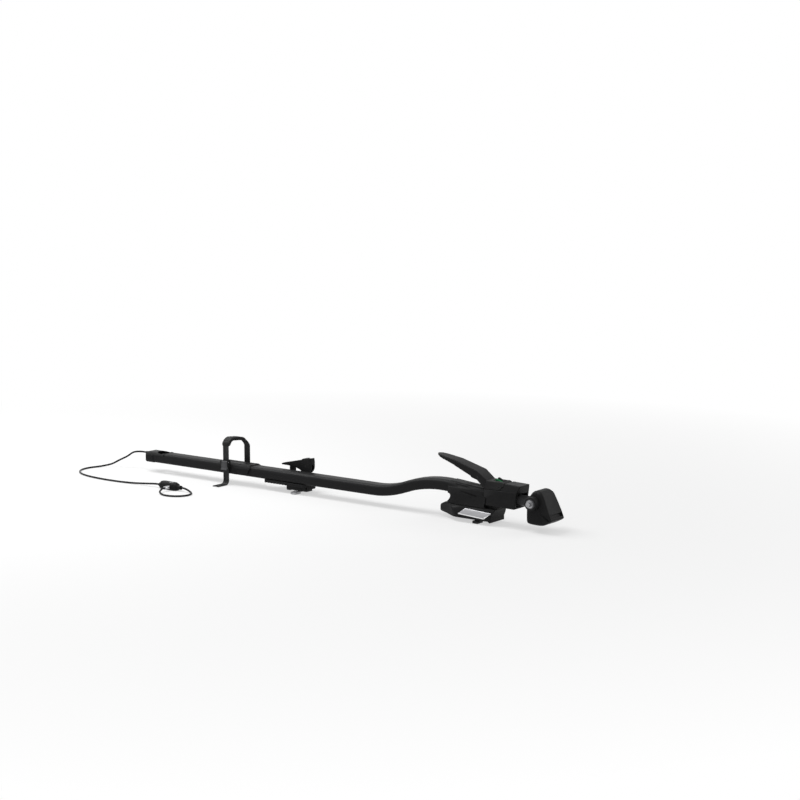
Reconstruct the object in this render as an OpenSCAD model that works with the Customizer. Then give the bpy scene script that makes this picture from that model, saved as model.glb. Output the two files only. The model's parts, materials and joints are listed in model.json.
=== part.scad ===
// Fork mount roof carrier for one bicycle: bent rail, wheel holder, rear foot,
// front foot with a lever clamp, and a fork head with two expanding axle mandrels.
// X runs forward to the fork head, Y to the left, Z up. Pieces are drawn from the seam
// between rail housing and clamp case, then placed with the origin on the seat of the
// front foot, over the middle of the front roof bar's track.

/* [Rail] */
// Width of the rail
rail_w = 46; // [40:1:54]
// Height of the rail
rail_h = 29.5; // [28:0.5:34]
// Wall of the extrusion
rail_wall = 2.2; // [1.8:0.1:2.8]
// Radius of the upper edges
rail_shoulder_r = 10; // [8:0.5:12]
// Radius of the lower edges
rail_edge_r = 6; // [5:0.5:7]
// Width of the slot in the underside
rail_slot_w = 9; // [8:0.5:12]
// Rear end of the tube
rail_rear_x = -1205; // [-1260:5:-1160]
// Underside of the straight rear part
rail_z = 14.8; // [14:0.2:18]
// How far the front end stands above the rear part
rail_rise = 40.8; // [40:0.1:42]
// Angle of both bends
bend_angle = 20.6; // [20:0.1:22]
// Where the first bend starts
bend_x = -378; // [-390:2:-370]
// How far the second bend goes past level
nose_angle = 5; // [4:0.5:6]
// Wall of the moulding round the tube
housing_wall = 1.2; // [0.8:0.1:1.6]
// Front end of the tube, inside the housing
rail_front_x = -62; // [-70:1:-56]
// Length of the stowage window in the top wall
window_l = 32; // [26:1:38]
// Width of the stowage window
window_w = 15; // [11:0.5:18]

/* [End cap] */
// Length of the cap behind the tube
cap_l = 30; // [24:1:40]
// How far the cap stands proud of the rail
cap_lip = 1.2; // [0.8:0.1:2]
// Length of the hood over the tube
hood_l = 43; // [40:1:48]
// Width of the hood's rim ahead of the window
hood_rim = 4; // [3:0.5:6]
// Length of the plug inside the tube
cap_plug_l = 16; // [10:1:20]
// How far the plug's top lies below the rail's top
plug_drop = 17; // [15:0.5:19]
// How far the hood reaches down the rail's sides
hood_drop = 8; // [6:0.5:10]
// Length of the strain relief
gland_l = 22; // [22:1:22]

/* [Lock] */
// Diameter of the coated steel cable
cable_d = 5.5; // [5:0.1:6]
// Length of the lock body
lock_l = 72; // [60:1:72]
// Width of the lock body
lock_w = 25; // [22:1:28]
// Height of the lock body
lock_h = 22; // [20:1:24]
// Radius of the key barrel
barrel_r = 7; // [5:0.5:8]

/* [Wheel holder] */
// Middle of the tray
tray_x = -878; // [-900:1:-860]
// Length of the tray along its top
tray_l = 132; // [120:1:150]
// Slant of the tray's ends
tray_slant = 14; // [8:1:20]
// Wall of the tray
tray_wall = 3.5; // [3:0.25:4.5]
// Radius of the tyre channel in the tray
tyre_r = 40; // [30:1:50]
// Depth of the tyre channel
tyre_dish = 1.6; // [1:0.1:2]
// Lower edge of the tray's cheeks above the rail's underside
tray_low = 6; // [4:0.5:9]
// Width of the strap
strap_w = 21; // [18:0.5:23]
// Thickness of the strap
strap_t = 3; // [2.5:0.25:3.5]
// Top of the strap's arch
strap_top = 117; // [105:1:130]
// Radius of the strap's arch
strap_r = 22; // [20:1:24]
// Place of the strap's near side, behind the middle of the tray
strap_back = 23; // [18:1:28]
// How far the strap drifts forward as it crosses the rim
strap_drift = 28; // [20:1:32]
// Length of the strap's tail on the ground
tail_l = 34; // [20:1:50]
// Wall of the rim pad round the strap
rim_pad_wall = 2.6; // [2:0.2:3.4]

/* [Rear foot] */
// Middle of the rear foot
rear_x = -655; // [-680:5:-600]
// Length of the foot plate
rear_plate_l = 148; // [130:2:170]
// Thickness of the foot plate
rear_plate_t = 8.5; // [7.5:0.5:9.5]
// Y of the T bolt
rear_bolt_y = 37.5; // [37.5:0.5:42]
// Height of the cam lever's pivot
rear_pivot_z = 56; // [54:0.5:60]
// Radius of the cam lever's hub
rear_hub_r = 22; // [20:0.5:23]
// Thickness of the cam lever
rear_lever_t = 16; // [15:0.5:17]

/* [T track hardware] */
// Radius of a T bolt's shank
bolt_r = 4; // [3:0.1:4]
// Depth of the T heads' underside below the foot
track_depth = 10; // [9:0.5:12]
// Thickness of a T head
t_head_t = 6; // [4:0.5:7]
// Width of a T head across the track
t_head_w = 18; // [14:1:19]
// Length of a T head along the track
t_head_l = 26; // [20:1:30]
// Half the distance between the front T bolts
front_bolt_y = 18; // [16:0.5:20]
// X of the front roof bar's track
track_x = -36; // [-40:1:-32]
// Height of both feet's seats
seat_z = -6; // [-8:0.5:-4]

/* [Front foot] */
// Front of the foot
foot_front = 13; // [10:0.5:16]
// Rear tip of the foot
foot_rear = 164; // [158:1:172]
// Width of the foot
foot_w = 76; // [74:0.5:82]
// Slope of the foot's sides, in degrees
foot_slope = 69; // [66:0.5:72]
// Forward tilt of the foot's plates, in degrees
foot_tilt = 3.3; // [2:0.1:4]
// Height of the foot's flat top
foot_top = 26; // [25:0.5:27]
// Length of the aluminium plates
plate_l = 82; // [70:1:86]
// Width of the aluminium plates
plate_w = 19.5; // [16:0.5:20]
// Thickness of the aluminium plates
plate_t = 3.5; // [2.5:0.25:4]

/* [Housing and case] */
// Width of the rail housing and the case
case_w = 60; // [58:1:64]
// Width across the tops of the case and the lever's hub
case_top_w = 40; // [37:0.5:44]
// Front of the case at its top
case_front_x = 98; // [95:1:101]
// Seam between housing and case
seam_x = -9; // [-12:1:-8]
// Underside of the case
case_z = 35; // [33:0.5:37]
// Crease along the case's side, where the lever's skirts end
crease_z = 77; // [76:0.1:77.2]
// Top of the case's front block
case_top = 98; // [97:0.5:102]

/* [Lever clamp] */
// X of the lever's pivot
pivot_x = 34; // [32:0.5:36]
// Height of the lever's pivot
pivot_z = 86; // [86:0.1:86.4]
// Radius of the lever's hub
hub_r = 12; // [11.5:0.1:12.4]
// Radius of the pivot pin
pivot_r = 3; // [2.5:0.1:3.3]
// Wall of the lever
lever_wall = 2.7; // [2.2:0.1:3]
// Radius of the cam
cam_r = 6.5; // [6.2:0.1:6.8]
// Eccentricity of the cam
cam_throw = 2.5; // [2:0.1:2.7]
// How far the lever opens
lever_open = 75; // [60:1:75]

/* [Fork head] */
// X of the fork's axle
axle_x = 141; // [139:0.5:143]
// Height of the fork's axle
axle_z = 59; // [57:0.5:61]
// Inside width of the fork
fork_w = 100; // [100:1:104]
// Radius of the mandrel's free end
axle_r = 5.95; // [5.5:0.05:6.2]
// Length of the mandrel's free end
axle_l = 9; // [7:0.5:12]
// Radius of the mandrel's body
mandrel_r = 10; // [9:0.25:10.5]
// Width of the head
head_w = 70; // [66:1:74]
// Front of the head
head_front_x = 190; // [186:1:194]
// Where the cover's seam meets the top, behind the front
cover_back = 44; // [40:1:48]
// Where the cover's seam meets the underside, behind the front
cover_foot = 17; // [14:1:20]
// Top of the head
head_top = 90; // [88:1:92]
// Radius of the grey neck
neck_r = 13.5; // [12.5:0.25:14]
// Height of the neck's axis
neck_z = 55; // [53:0.5:57]
// Radius of the draw bar
draw_r = 6; // [5:0.25:6.5]

/* [Fits] */
// Gap between pieces that move past each other
gap = 0.3; // [0.2:0.05:0.4]
// Radial clearance of a pin that turns or slides
pin_fit = 0.06; // [0.03:0.01:0.1]

/* [Hidden] */
$fn = 48;
eps = 0.02;
far = 400;

// Rail
joint_gap = 0.01;
bend_r = rail_rise / 2 / (1 - cos(bend_angle));
bend_end_x = bend_x + 2 * bend_r * sin(bend_angle);
rail_top = rail_z + rail_h;
front_rail_z = rail_z + rail_rise;
front_rail_top = front_rail_z + rail_h;
nose_x = bend_end_x + bend_r * sin(nose_angle);
nose_z = front_rail_z - bend_r * (1 - cos(nose_angle));
nose_l = (rail_front_x - nose_x) / cos(nose_angle);
function on_nose(l, h) = [
    nose_x + l * cos(nose_angle) + h * sin(nose_angle), nose_z - l * sin(nose_angle) + h * cos(nose_angle)
];
window_x = rail_rear_x + hood_l - hood_rim - window_l / 2;

// End cap and gland
cap_rear_x = rail_rear_x - cap_l;
gland_z = rail_z + rail_h - 7.3;
gland_root_r = 6.5;
gland_tip_r = 3.6;
cable_exit_x = cap_rear_x - gland_l;

// Ground under the T heads, where the cable lies
ground_z = seat_z - track_depth;
cable_sides = 8;
cable_route = [
    [-1257, 0, 37], [-1272, 0, 37], [-1288, -1, 36], [-1308, -4, 32], [-1330, -10, 18],
    [-1352, -20, 6], [-1372, -33, -6], [-1388, -49, -11], [-1399, -68, -13], [-1405, -90, -13],
    [-1404, -113, -13], [-1396, -135, -13], [-1382, -153, -13], [-1363, -168, -13], [-1340, -179, -13],
    [-1313, -187, -13], [-1284, -192, -13], [-1253, -195, -13], [-1221, -196, -13], [-1189, -195, -13],
    [-1157, -192, -13], [-1125, -188, -12.5], [-1095, -184, -11], [-1068, -181, -9], [-1046, -180, -7],
    [-1030, -180, -6], [-1018, -180, -6]
];
loop_route = [
    [-934, -180, -6], [-924, -180, -6], [-911, -181, -8], [-896, -185, -11], [-882, -193, -13],
    [-873, -205, -13], [-870, -220, -13], [-874, -235, -13], [-884, -247, -13], [-898, -255, -13],
    [-914, -258, -13], [-930, -256, -13], [-945, -250, -12], [-957, -241, -10], [-964, -230, -8],
    [-968, -220, -6], [-968, -212, -6]
];
lock_y = -180;
lock_z = -6;
lock_end_x = -946;
lock_rear_x = lock_end_x - lock_l;
collar_l = loop_route[0][0] - lock_end_x;
collar_r = 6;
plug_x = -968;
plug_y = -212;
plug_r = 5;
barrel_x = lock_end_x - 26;

// Wheel holder
tray_grow = tray_wall + gap;
cheek_y = rail_w / 2 + tray_grow;
strap_x = tray_x - strap_back;
buckle_plate_t = 2;
strap_near_y = -(cheek_y + buckle_plate_t + gap + strap_t / 2);
strap_far_y = cheek_y + gap + strap_t / 2;
strap_far_x = strap_x + strap_drift;
arch_z = strap_top - strap_r;
anchor_z = rail_z + 21;
anchor_r = 2.5;
tail_r = 12;
tail_z = ground_z + strap_t / 2 + 0.5;
buckle_z = rail_z + 14;
buckle_h = 28;
ear_t = 2.8;
ear_gap = strap_w / 2 + 0.6;
buckle_pin_r = 2;
buckle_pin_y = strap_near_y - strap_t / 2 - 3.8;
buckle_pin_z = buckle_z + buckle_h - 6;

// Rear foot
rear_plate_top = rail_z - gap;
rear_plate_z = rear_plate_top - rear_plate_t;
rear_plate_x0 = rear_x - rear_plate_l / 2 - 36;
rear_plate_x1 = rear_plate_x0 + rear_plate_l;
rear_near_y = -24;
rear_lever_y0 = rear_bolt_y - rear_lever_t / 2;
rear_lever_y1 = rear_bolt_y + rear_lever_t / 2;
rear_far_y = rear_lever_y1 + 1;
rear_block_l = 56;
rear_pad_t = 2;
rear_pin_r = 3;
rear_eye_r = 8;
rear_eye_w = 8;
saddle_top = rear_pivot_z - rear_hub_r - gap;
slider_l = 74;
slider_t = 5;
slider_w = rail_slot_w + 8;
slider_z = rail_z + rail_wall + 0.15;
lug_y = -12;
post_x = rear_x - 52;
post_w = 16;
post_top = 51;

// T track hardware
bolt_hole_r = bolt_r + 0.3;
t_neck_z = ground_z + t_head_t;
nut_h = 7;
nut_z = seat_z + 11;

// Front foot
rim_z = seat_z + 1;
lip_z = seat_z - 3.5;
pad_t = 5;
pad_y = 30;
pad_gap = 12;
front_pad_l = 30;
rear_pad_l = 38;
plate_sink = 2.5;
plate_lean = 10;
slope_at = [track_x, -foot_w / 2 + 3.5, seat_z + 16.5];

// Case, clamp and head
half_case = case_w / 2;
flank_run = (half_case - case_top_w / 2) / (case_top - crease_z);
block_x = pivot_x + hub_r + 0.8;
skirt_z = crease_z + 0.6;
recess_y = half_case - flank_run * (pivot_z - crease_z) + 0.7;
neck_rear_x = 72;
travel = 2 * cam_throw * sin(lever_open / 2);
cam_dx = -cam_throw * sin(lever_open / 2);
cam_dz = cam_throw * cos(lever_open / 2);
cam_w = 12;
follower_x1 = pivot_x + cam_dx - cam_r - 0.15;
follower_t = 5;
follower_x0 = follower_x1 - follower_t;
follower_w = 10;
follower_top = pivot_z + 3;
indicator_top = case_top + 3.5;
cheek_t = 7.5;
cheek_r = 8;
cheek_out_y = 19.5;
disc_in_y = cheek_out_y + gap;
wedge_nose = axle_x + 13;
wedge_tail = axle_x - mandrel_r - 4;
wedge_slope = 0.5;
wedge_front_w = 16;
wedge_rear_w = wedge_front_w - wedge_slope * (wedge_nose - wedge_tail);
wedge_h = 15;
wedge_fit = 0.1;
boss_r = 17;
bush_wall = 2.5;
bush_l = 14;
boss_y = fork_w / 2 - 2;
trigger_pin_x = -34;
trigger_pin_z = 104;
trigger_pin_r = 2;
trigger_w = 26;

// Extrusions along the three axes
module along_x(x0, x1) {
    translate([x0, 0, 0]) rotate([90, 0, 90]) linear_extrude(x1 - x0) children();
}

module along_y(y0, y1) {
    translate([0, y1, 0]) rotate([90, 0, 0]) linear_extrude(y1 - y0) children();
}

module along_z(z0, z1) {
    translate([0, 0, z0]) linear_extrude(z1 - z0) children();
}

// Round rods along the three axes
module rod_x(y, z, r, x0, x1) {
    translate([x0, y, z]) rotate([0, 90, 0]) cylinder(r = r, h = x1 - x0);
}

module rod_y(x, z, r, y0, y1) {
    translate([x, y0, z]) rotate([-90, 0, 0]) cylinder(r = r, h = y1 - y0);
}

module rod_z(x, y, r, z0, z1) {
    translate([x, y, z0]) cylinder(r = r, h = z1 - z0);
}

// A box from its lowest to its highest corner
module span(low, high) {
    translate(low) cube(high - low);
}

// Rectangle with round corners, centred
module round_rect(w, h, r) {
    square([w - 2 * r, h], center = true);
    square([w, h - 2 * r], center = true);
    for (sx = [-1, 1], sy = [-1, 1])
        translate([sx * (w / 2 - r), sy * (h / 2 - r)]) circle(r);
}

// Slot with round ends, centred, along the first axis
module stadium(l, w) {
    square([l - w, w], center = true);
    for (s = [-1, 1])
        translate([s * (l - w) / 2, 0]) circle(d = w);
}

// Tube swept along a route: one ring of points square to the path at each point
function unit(v) = v / norm(v);
function heading(p, i) = unit(p[min(i + 1, len(p) - 1)] - p[max(i - 1, 0)]);
function side_of(t) = unit(cross(t, abs(t.z) > 0.9 ? [1, 0, 0] : [0, 0, 1]));
function ring(c, t, r, n) = let (u = side_of(t), v = cross(u, t))
    [for (k = [0:n - 1]) c + r * (cos(360 * k / n) * u + sin(360 * k / n) * v)];
function skin_faces(rings, n) = concat(
    [[for (k = [0:n - 1]) n - 1 - k]],
    [for (i = [0:rings - 2], k = [0:n - 1]) [i * n + k, i * n + (k + 1) % n, (i + 1) * n + (k + 1) % n]],
    [for (i = [0:rings - 2], k = [0:n - 1]) [i * n + k, (i + 1) * n + (k + 1) % n, (i + 1) * n + k]],
    [[for (k = [0:n - 1]) (rings - 1) * n + k]]
);

module swept_tube(route, r, n) {
    polyhedron(
        [for (i = [0:len(route) - 1]) each ring(route[i], heading(route, i), r, n)],
        skin_faces(len(route), n)
    );
}

// Outline of the rail's section, grown or shrunk by g, with its underside at zero
module rail_outline(g) {
    wall_y = rail_w / 2 + g;
    top_y = rail_w / 2 - rail_shoulder_r;
    top_z = rail_h - rail_shoulder_r;
    edge_y = rail_w / 2 - rail_edge_r;
    for (s = [-1, 1]) {
        translate([s * top_y, top_z]) circle(rail_shoulder_r + g);
        translate([s * edge_y, rail_edge_r]) circle(rail_edge_r + g);
    }
    translate([-wall_y, rail_edge_r]) square([2 * wall_y, top_z - rail_edge_r]);
    translate([-top_y, top_z]) square([2 * top_y, rail_shoulder_r + g]);
    translate([-edge_y, -g]) square([2 * edge_y, rail_edge_r + g]);
}

module rail_section() {
    difference() {
        rail_outline(0);
        rail_outline(-rail_wall);
        translate([-rail_slot_w / 2, -1]) square([rail_slot_w, rail_wall + 2]);
    }
}

// The front length of rail, grown by g, as the housing's socket
module along_nose(l0, l1) {
    translate([nose_x, 0, nose_z]) rotate([0, nose_angle, 0]) along_x(l0, l1) children();
}

// One bent extrusion. Its four lengths end a hair apart, so that each stays an exact solid.
module rail() {
    trim = joint_gap / bend_r * 180 / PI;
    color([0.09, 0.09, 0.1]) {
        difference() {
            translate([0, 0, rail_z]) along_x(rail_rear_x, bend_x) rail_section();
            translate([window_x, 0, 0])
                along_z(rail_top - rail_wall - 1, rail_top + 1) stadium(window_l, window_w);
        }
        translate([bend_x, 0, rail_z + bend_r]) rotate([0, 90 - trim, 0]) rotate([90, 0, 0])
            rotate_extrude(angle = bend_angle - 2 * trim, $fn = 96) translate([bend_r, 0]) rotate(90) rail_section();
        translate([bend_end_x, 0, front_rail_z - bend_r]) rotate([0, nose_angle - 90 - trim, 0]) rotate([90, 0, 0])
            rotate_extrude(angle = bend_angle + nose_angle - 2 * trim, $fn = 96)
                translate([bend_r, 0]) rotate(-90) rail_section();
        along_nose(0, nose_l) rail_section();
    }
}

module rail_end_cap() {
    low = rail_z - cap_lip;
    high = rail_top + cap_lip;
    hood_x = rail_rear_x + hood_l;
    color([0.06, 0.06, 0.06]) difference() {
        union() {
            intersection() {
                translate([0, 0, rail_z]) along_x(cap_rear_x, rail_rear_x) rail_outline(cap_lip);
                along_y(-far, far) polygon([
                    [cap_rear_x, low + 3], [cap_rear_x + 4, low - 1], [rail_rear_x + 1, low - 1],
                    [rail_rear_x + 1, high + 1], [cap_rear_x + 6, high], [cap_rear_x, high - 1.2]
                ]);
            }
            translate([0, 0, rail_z]) along_x(rail_rear_x - eps, hood_x) difference() {
                rail_outline(cap_lip);
                rail_outline(eps);
                translate([-rail_w, -rail_h]) square([2 * rail_w, 2 * rail_h - hood_drop]);
            }
            translate([0, 0, rail_z]) along_x(rail_rear_x - eps, rail_rear_x + cap_plug_l) difference() {
                rail_outline(-rail_wall - 0.1);
                translate([-rail_w / 2, rail_h - plug_drop]) square([rail_w, rail_h]);
            }
        }
        translate([window_x, 0, 0]) along_z(rail_top - 1, far) stadium(window_l, window_w);
    }
}

module cable_gland() {
    color([0.05, 0.05, 0.05]) translate([cap_rear_x, 0, gland_z]) rotate([0, -90, 0]) rotate_extrude()
        polygon([
            [0, 0], [gland_root_r, 0], [gland_root_r, 4], [gland_root_r - 1.5, 5],
            [gland_tip_r, gland_l], [0, gland_l]
        ]);
}

module lock_cable() {
    color([0.05, 0.05, 0.05]) swept_tube(cable_route, cable_d / 2, cable_sides);
}

module lock_loop() {
    color([0.05, 0.05, 0.05]) swept_tube(loop_route, cable_d / 2, cable_sides);
}

// Lock housing: a turned body with a collar at each end, flat where it lies and at its sides
module lock_body() {
    low = ground_z + 0.2;
    high = low + lock_h;
    w = lock_w / 2;
    r = w + 1.5;
    color([0.07, 0.07, 0.08]) difference() {
        intersection() {
            translate([lock_rear_x, lock_y, lock_z]) rotate([0, 90, 0]) rotate_extrude() polygon([
                [0, 0], [collar_r, 0], [collar_r, 4], [r - 2, 9], [r, 16], [r, lock_l - 12], [r - 3, lock_l - 3],
                [collar_r, lock_l], [collar_r, lock_l + collar_l], [0, lock_l + collar_l]
            ]);
            span([lock_rear_x - 1, lock_y - w, low], [lock_end_x + collar_l + 1, lock_y + w, high]);
        }
        rod_z(barrel_x, lock_y, barrel_r + pin_fit, high - 9, far);
    }
}

module lock_barrel() {
    top = ground_z + lock_h - 0.4;
    color([0.62, 0.63, 0.64]) difference() {
        rod_z(barrel_x, lock_y, barrel_r, top - 8, top);
        span([barrel_x - 0.8, lock_y - 4, top - 2], [barrel_x + 0.8, lock_y + 4, top + 1]);
    }
}

module loop_plug() {
    color([0.75, 0.75, 0.74]) union() {
        rod_y(plug_x, lock_z, plug_r, plug_y, lock_y - lock_w / 2);
    }
}

// Wheel holder
module wheel_tray() {
    x0 = tray_x - tray_l / 2;
    x1 = tray_x + tray_l / 2;
    low = rail_z + tray_low;
    high = rail_top + tray_grow;
    color([0.05, 0.05, 0.05]) difference() {
        intersection() {
            translate([0, 0, rail_z]) along_x(x0, x1) difference() {
                rail_outline(tray_grow);
                rail_outline(gap);
                translate([-rail_w, -rail_h]) square([2 * rail_w, rail_h + tray_low]);
            }
            along_y(-far, far) polygon([
                [x0 + tray_slant, low - 1], [x1 - tray_slant, low - 1], [x1 - 3, high - 9],
                [x1 - 9, high + 1], [x0 + 9, high + 1], [x0 + 3, high - 9]
            ]);
        }
        rod_x(0, high + tyre_r - tyre_dish, tyre_r, x0, x1);
        rod_y(strap_far_x, anchor_z, anchor_r + 0.1, 0, far);
    }
}

// Centre line of the strap: place, then the direction its outer face looks in
function strap_ring(x, y, z, a) = let (n = [0, cos(a), sin(a)] * strap_t / 2, w = [strap_w / 2, 0, 0])
    [[x, y, z] - w - n, [x, y, z] + w - n, [x, y, z] + w + n, [x, y, z] - w + n];
tail_y = strap_near_y - tail_r;
near_arch_y = strap_near_y + strap_r;
far_arch_y = strap_far_y - strap_r;
drift_l = far_arch_y - near_arch_y + strap_r * PI / 2;
function drift_x(l) = strap_x + strap_drift * l / drift_l;
strap_steps = 8;
strap_rings = concat(
    [strap_ring(strap_x, tail_y - tail_l, tail_z, 90)],
    [for (i = [0:strap_steps]) let (a = -90 + 90 * i / strap_steps)
        strap_ring(strap_x, tail_y + tail_r * cos(a), tail_z + tail_r + tail_r * sin(a), a + 180)],
    [for (i = [0:strap_steps]) let (a = 180 - 90 * i / strap_steps)
        strap_ring(strap_x, near_arch_y + strap_r * cos(a), arch_z + strap_r * sin(a), a)],
    [for (i = [0:strap_steps]) let (a = 90 - 90 * i / strap_steps)
        strap_ring(
            drift_x(far_arch_y - near_arch_y + strap_r * (90 - a) * PI / 180),
            far_arch_y + strap_r * cos(a), arch_z + strap_r * sin(a), a
        )],
    [strap_ring(strap_far_x, strap_far_y, anchor_z - 8, 0)]
);

module wheel_strap() {
    color([0.08, 0.08, 0.08]) difference() {
        polyhedron([for (r = strap_rings) each r], skin_faces(len(strap_rings), 4));
        rod_y(strap_far_x, anchor_z, anchor_r + 0.1, 0, far);
    }
}

module rim_pad() {
    reach = strap_t / 2 + 0.2 + rim_pad_wall;
    color([0.24, 0.25, 0.26]) translate([strap_x, near_arch_y, arch_z]) mirror([0, 1, 0]) rotate([0, 90, 0])
        rotate(90) rotate([0, 0, 14]) rotate_extrude(angle = 62) difference() {
            translate([strap_r, 0]) round_rect(2 * reach, strap_w + 0.8 + 2 * rim_pad_wall, 2);
            translate([strap_r, 0]) square([strap_t + 0.4, strap_w + 0.8], center = true);
        }
}

module strap_anchor_pin() {
    head_y = strap_far_y + strap_t / 2;
    color([0.5, 0.5, 0.5]) union() {
        rod_y(strap_far_x, anchor_z, anchor_r, cheek_y - tray_wall, head_y);
        rod_y(strap_far_x, anchor_z, anchor_r + 2.5, head_y, head_y + 2);
    }
}

module buckle_body() {
    back_y = -cheek_y;
    front_y = back_y - buckle_plate_t;
    w = 2 * (ear_gap + ear_t);
    color([0.06, 0.06, 0.06]) difference() {
        union() {
            translate([strap_x, 0, buckle_z + buckle_h / 2]) along_y(front_y, back_y) round_rect(w, buckle_h, 3);
            for (s = [-1, 1])
                along_x(strap_x + (s > 0 ? ear_gap : -ear_gap - ear_t), strap_x + (s > 0 ? ear_gap + ear_t : -ear_gap)) {
                    translate([buckle_pin_y, buckle_pin_z]) circle(4.5);
                    polygon([
                        [front_y + eps, buckle_z + 3], [front_y + eps, buckle_pin_z + 4.5],
                        [buckle_pin_y, buckle_pin_z + 4.5], [buckle_pin_y - 4.5, buckle_pin_z],
                        [buckle_pin_y - 2, buckle_z + 8]
                    ]);
                }
        }
        rod_x(buckle_pin_y, buckle_pin_z, buckle_pin_r + 0.02, strap_x - far, strap_x + far);
    }
}

module buckle_lever() {
    hub = 3.4;
    w = 2 * (ear_gap - gap);
    in_y = buckle_pin_y + 2.6;
    out_y = buckle_pin_y - 4;
    low = buckle_z - 1;
    color([0.4, 0.41, 0.42]) difference() {
        union() {
            rod_x(buckle_pin_y, buckle_pin_z, hub, strap_x - w / 2, strap_x + w / 2);
            along_x(strap_x - w / 2, strap_x + w / 2) polygon([
                [in_y, buckle_pin_z], [in_y, low + 4], [out_y - 1, low], [out_y - 3, low + 1],
                [out_y, low + 6], [out_y, buckle_pin_z - 3], [buckle_pin_y - 3, buckle_pin_z]
            ]);
        }
        rod_x(buckle_pin_y, buckle_pin_z, buckle_pin_r + pin_fit, strap_x - far, strap_x + far);
    }
}

module buckle_pin() {
    reach = ear_gap + ear_t;
    color([0.6, 0.6, 0.6]) rod_x(buckle_pin_y, buckle_pin_z, buckle_pin_r, strap_x - reach, strap_x + reach);
}

// Rear foot
module rear_foot() {
    teeth = 7;
    teeth_l = rear_x - rear_block_l / 2 - rear_plate_x0 - 8;
    pitch = teeth_l / teeth;
    color([0.05, 0.05, 0.05]) difference() {
        union() {
            translate([(rear_plate_x0 + rear_plate_x1) / 2, (rear_near_y + rear_far_y) / 2, 0])
                along_z(rear_plate_z, rear_plate_top)
                round_rect(rear_plate_l, rear_far_y - rear_near_y, 9);
            translate([rear_x, (rear_near_y + rear_far_y) / 2, 0])
                along_z(seat_z + rear_pad_t, rear_plate_z + eps)
                round_rect(rear_block_l, rear_far_y - rear_near_y - 6, 4);
            span([rear_x - slider_l / 2, -rail_slot_w / 2 + gap, rear_plate_top - eps],
                [rear_x + slider_l / 2, rail_slot_w / 2 - gap, slider_z]);
            along_y(rear_lever_y0, rear_lever_y1)
                polygon([
                    [rear_x - 20, rear_plate_top - eps], [rear_x + 20, rear_plate_top - eps],
                    [rear_x + 15, saddle_top], [rear_x - 15, saddle_top]
                ]);
            along_y(rear_bolt_y - 5.5, rear_bolt_y + 5.5)
                polygon([
                    [post_x - post_w / 2 - 3, rear_plate_top - eps], [post_x + post_w / 2 + 3, rear_plate_top - eps],
                    [post_x + post_w / 2, rear_plate_top + 10], [post_x + post_w / 2, post_top],
                    [post_x - post_w / 2, post_top], [post_x - post_w / 2, rear_plate_top + 10]
                ]);
        }
        for (i = [0:teeth - 1])
            translate([rear_plate_x0 + 8 + pitch * (i + 0.5), 0, rear_plate_z]) rotate([0, 45, 0])
                cube([2.6, far, 2.6], center = true);
        rod_z(rear_x, rear_bolt_y, bolt_hole_r, -far, far);
        rod_z(rear_x, lug_y, bolt_r + eps, -far, rear_plate_z + 4);
        for (s = [-1, 1]) {
            rod_z(rear_x + s * slider_l / 3, 0, 2.6, -far, far);
            rod_z(rear_x + s * slider_l / 3, 0, 4.8, -far, rear_plate_z + 3);
        }
    }
}

module rear_foot_pad() {
    strip = rear_block_l / 2 - t_head_w / 2 - 5;
    color([0.03, 0.03, 0.03]) for (s = [-1, 1])
        translate([rear_x + s * (rear_block_l / 2 - 1 - strip / 2), (rear_near_y + rear_far_y) / 2, 0])
            along_z(seat_z, seat_z + rear_pad_t) difference() {
                round_rect(strip, rear_far_y - rear_near_y - 8, 3);
                translate([s * (slider_l / 3 - rear_block_l / 2 + 1 + strip / 2), -(rear_near_y + rear_far_y) / 2])
                    circle(4.8);
            }
}

module rear_slider() {
    color([0.66, 0.67, 0.68]) difference() {
        span([rear_x - slider_l / 2, -slider_w / 2, slider_z], [rear_x + slider_l / 2, slider_w / 2, slider_z + slider_t]);
        for (s = [-1, 1])
            rod_z(rear_x + s * slider_l / 3, 0, 2.5, -far, far);
    }
}

module rear_slider_screws() {
    color([0.6, 0.6, 0.6]) for (s = [-1, 1]) translate([rear_x + s * slider_l / 3, 0, 0]) {
        rod_z(0, 0, 2.5, rear_plate_z + 2, slider_z + slider_t);
        rod_z(0, 0, 4.6, rear_plate_z - 1.5, rear_plate_z + 3);
    }
}

// T head under a shank, as it slides in a roof bar's track
module t_bolt(top) {
    along_z(ground_z, t_neck_z) round_rect(t_head_w, t_head_l, 3);
    rod_z(0, 0, bolt_r, t_neck_z - eps, top);
}

module rear_locating_lug() {
    color([0.6, 0.61, 0.62]) translate([rear_x, lug_y, 0]) t_bolt(rear_plate_z + 4);
}

module rear_t_bolt() {
    color([0.6, 0.61, 0.62]) translate([rear_x, rear_bolt_y, 0]) difference() {
        union() {
            t_bolt(rear_pivot_z);
            rod_y(0, rear_pivot_z, rear_eye_r, -rear_eye_w / 2, rear_eye_w / 2);
        }
        rod_y(0, rear_pivot_z, rear_pin_r + pin_fit, -far, far);
    }
}

module rear_cam_lever() {
    slot = rear_eye_w / 2 + gap;
    color([0.05, 0.05, 0.05]) translate([rear_x, 0, rear_pivot_z]) difference() {
        along_y(rear_lever_y0, rear_lever_y1) {
            circle(rear_hub_r);
            polygon([
                [rear_hub_r, 0], [rear_hub_r + 1, 12], [rear_hub_r - 1, 24], [-84, 1], [-88, -1],
                [-86, -4], [-44, -4.6], [-20, -12]
            ]);
        }
        along_y(rear_bolt_y - slot, rear_bolt_y + slot) {
            circle(rear_eye_r + 1.5);
            translate([-bolt_r - 1.2, -far]) square([far, far + bolt_r + 1.2]);
        }
        rod_y(0, 0, rear_pin_r + 0.02, -far, far);
    }
}

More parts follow.
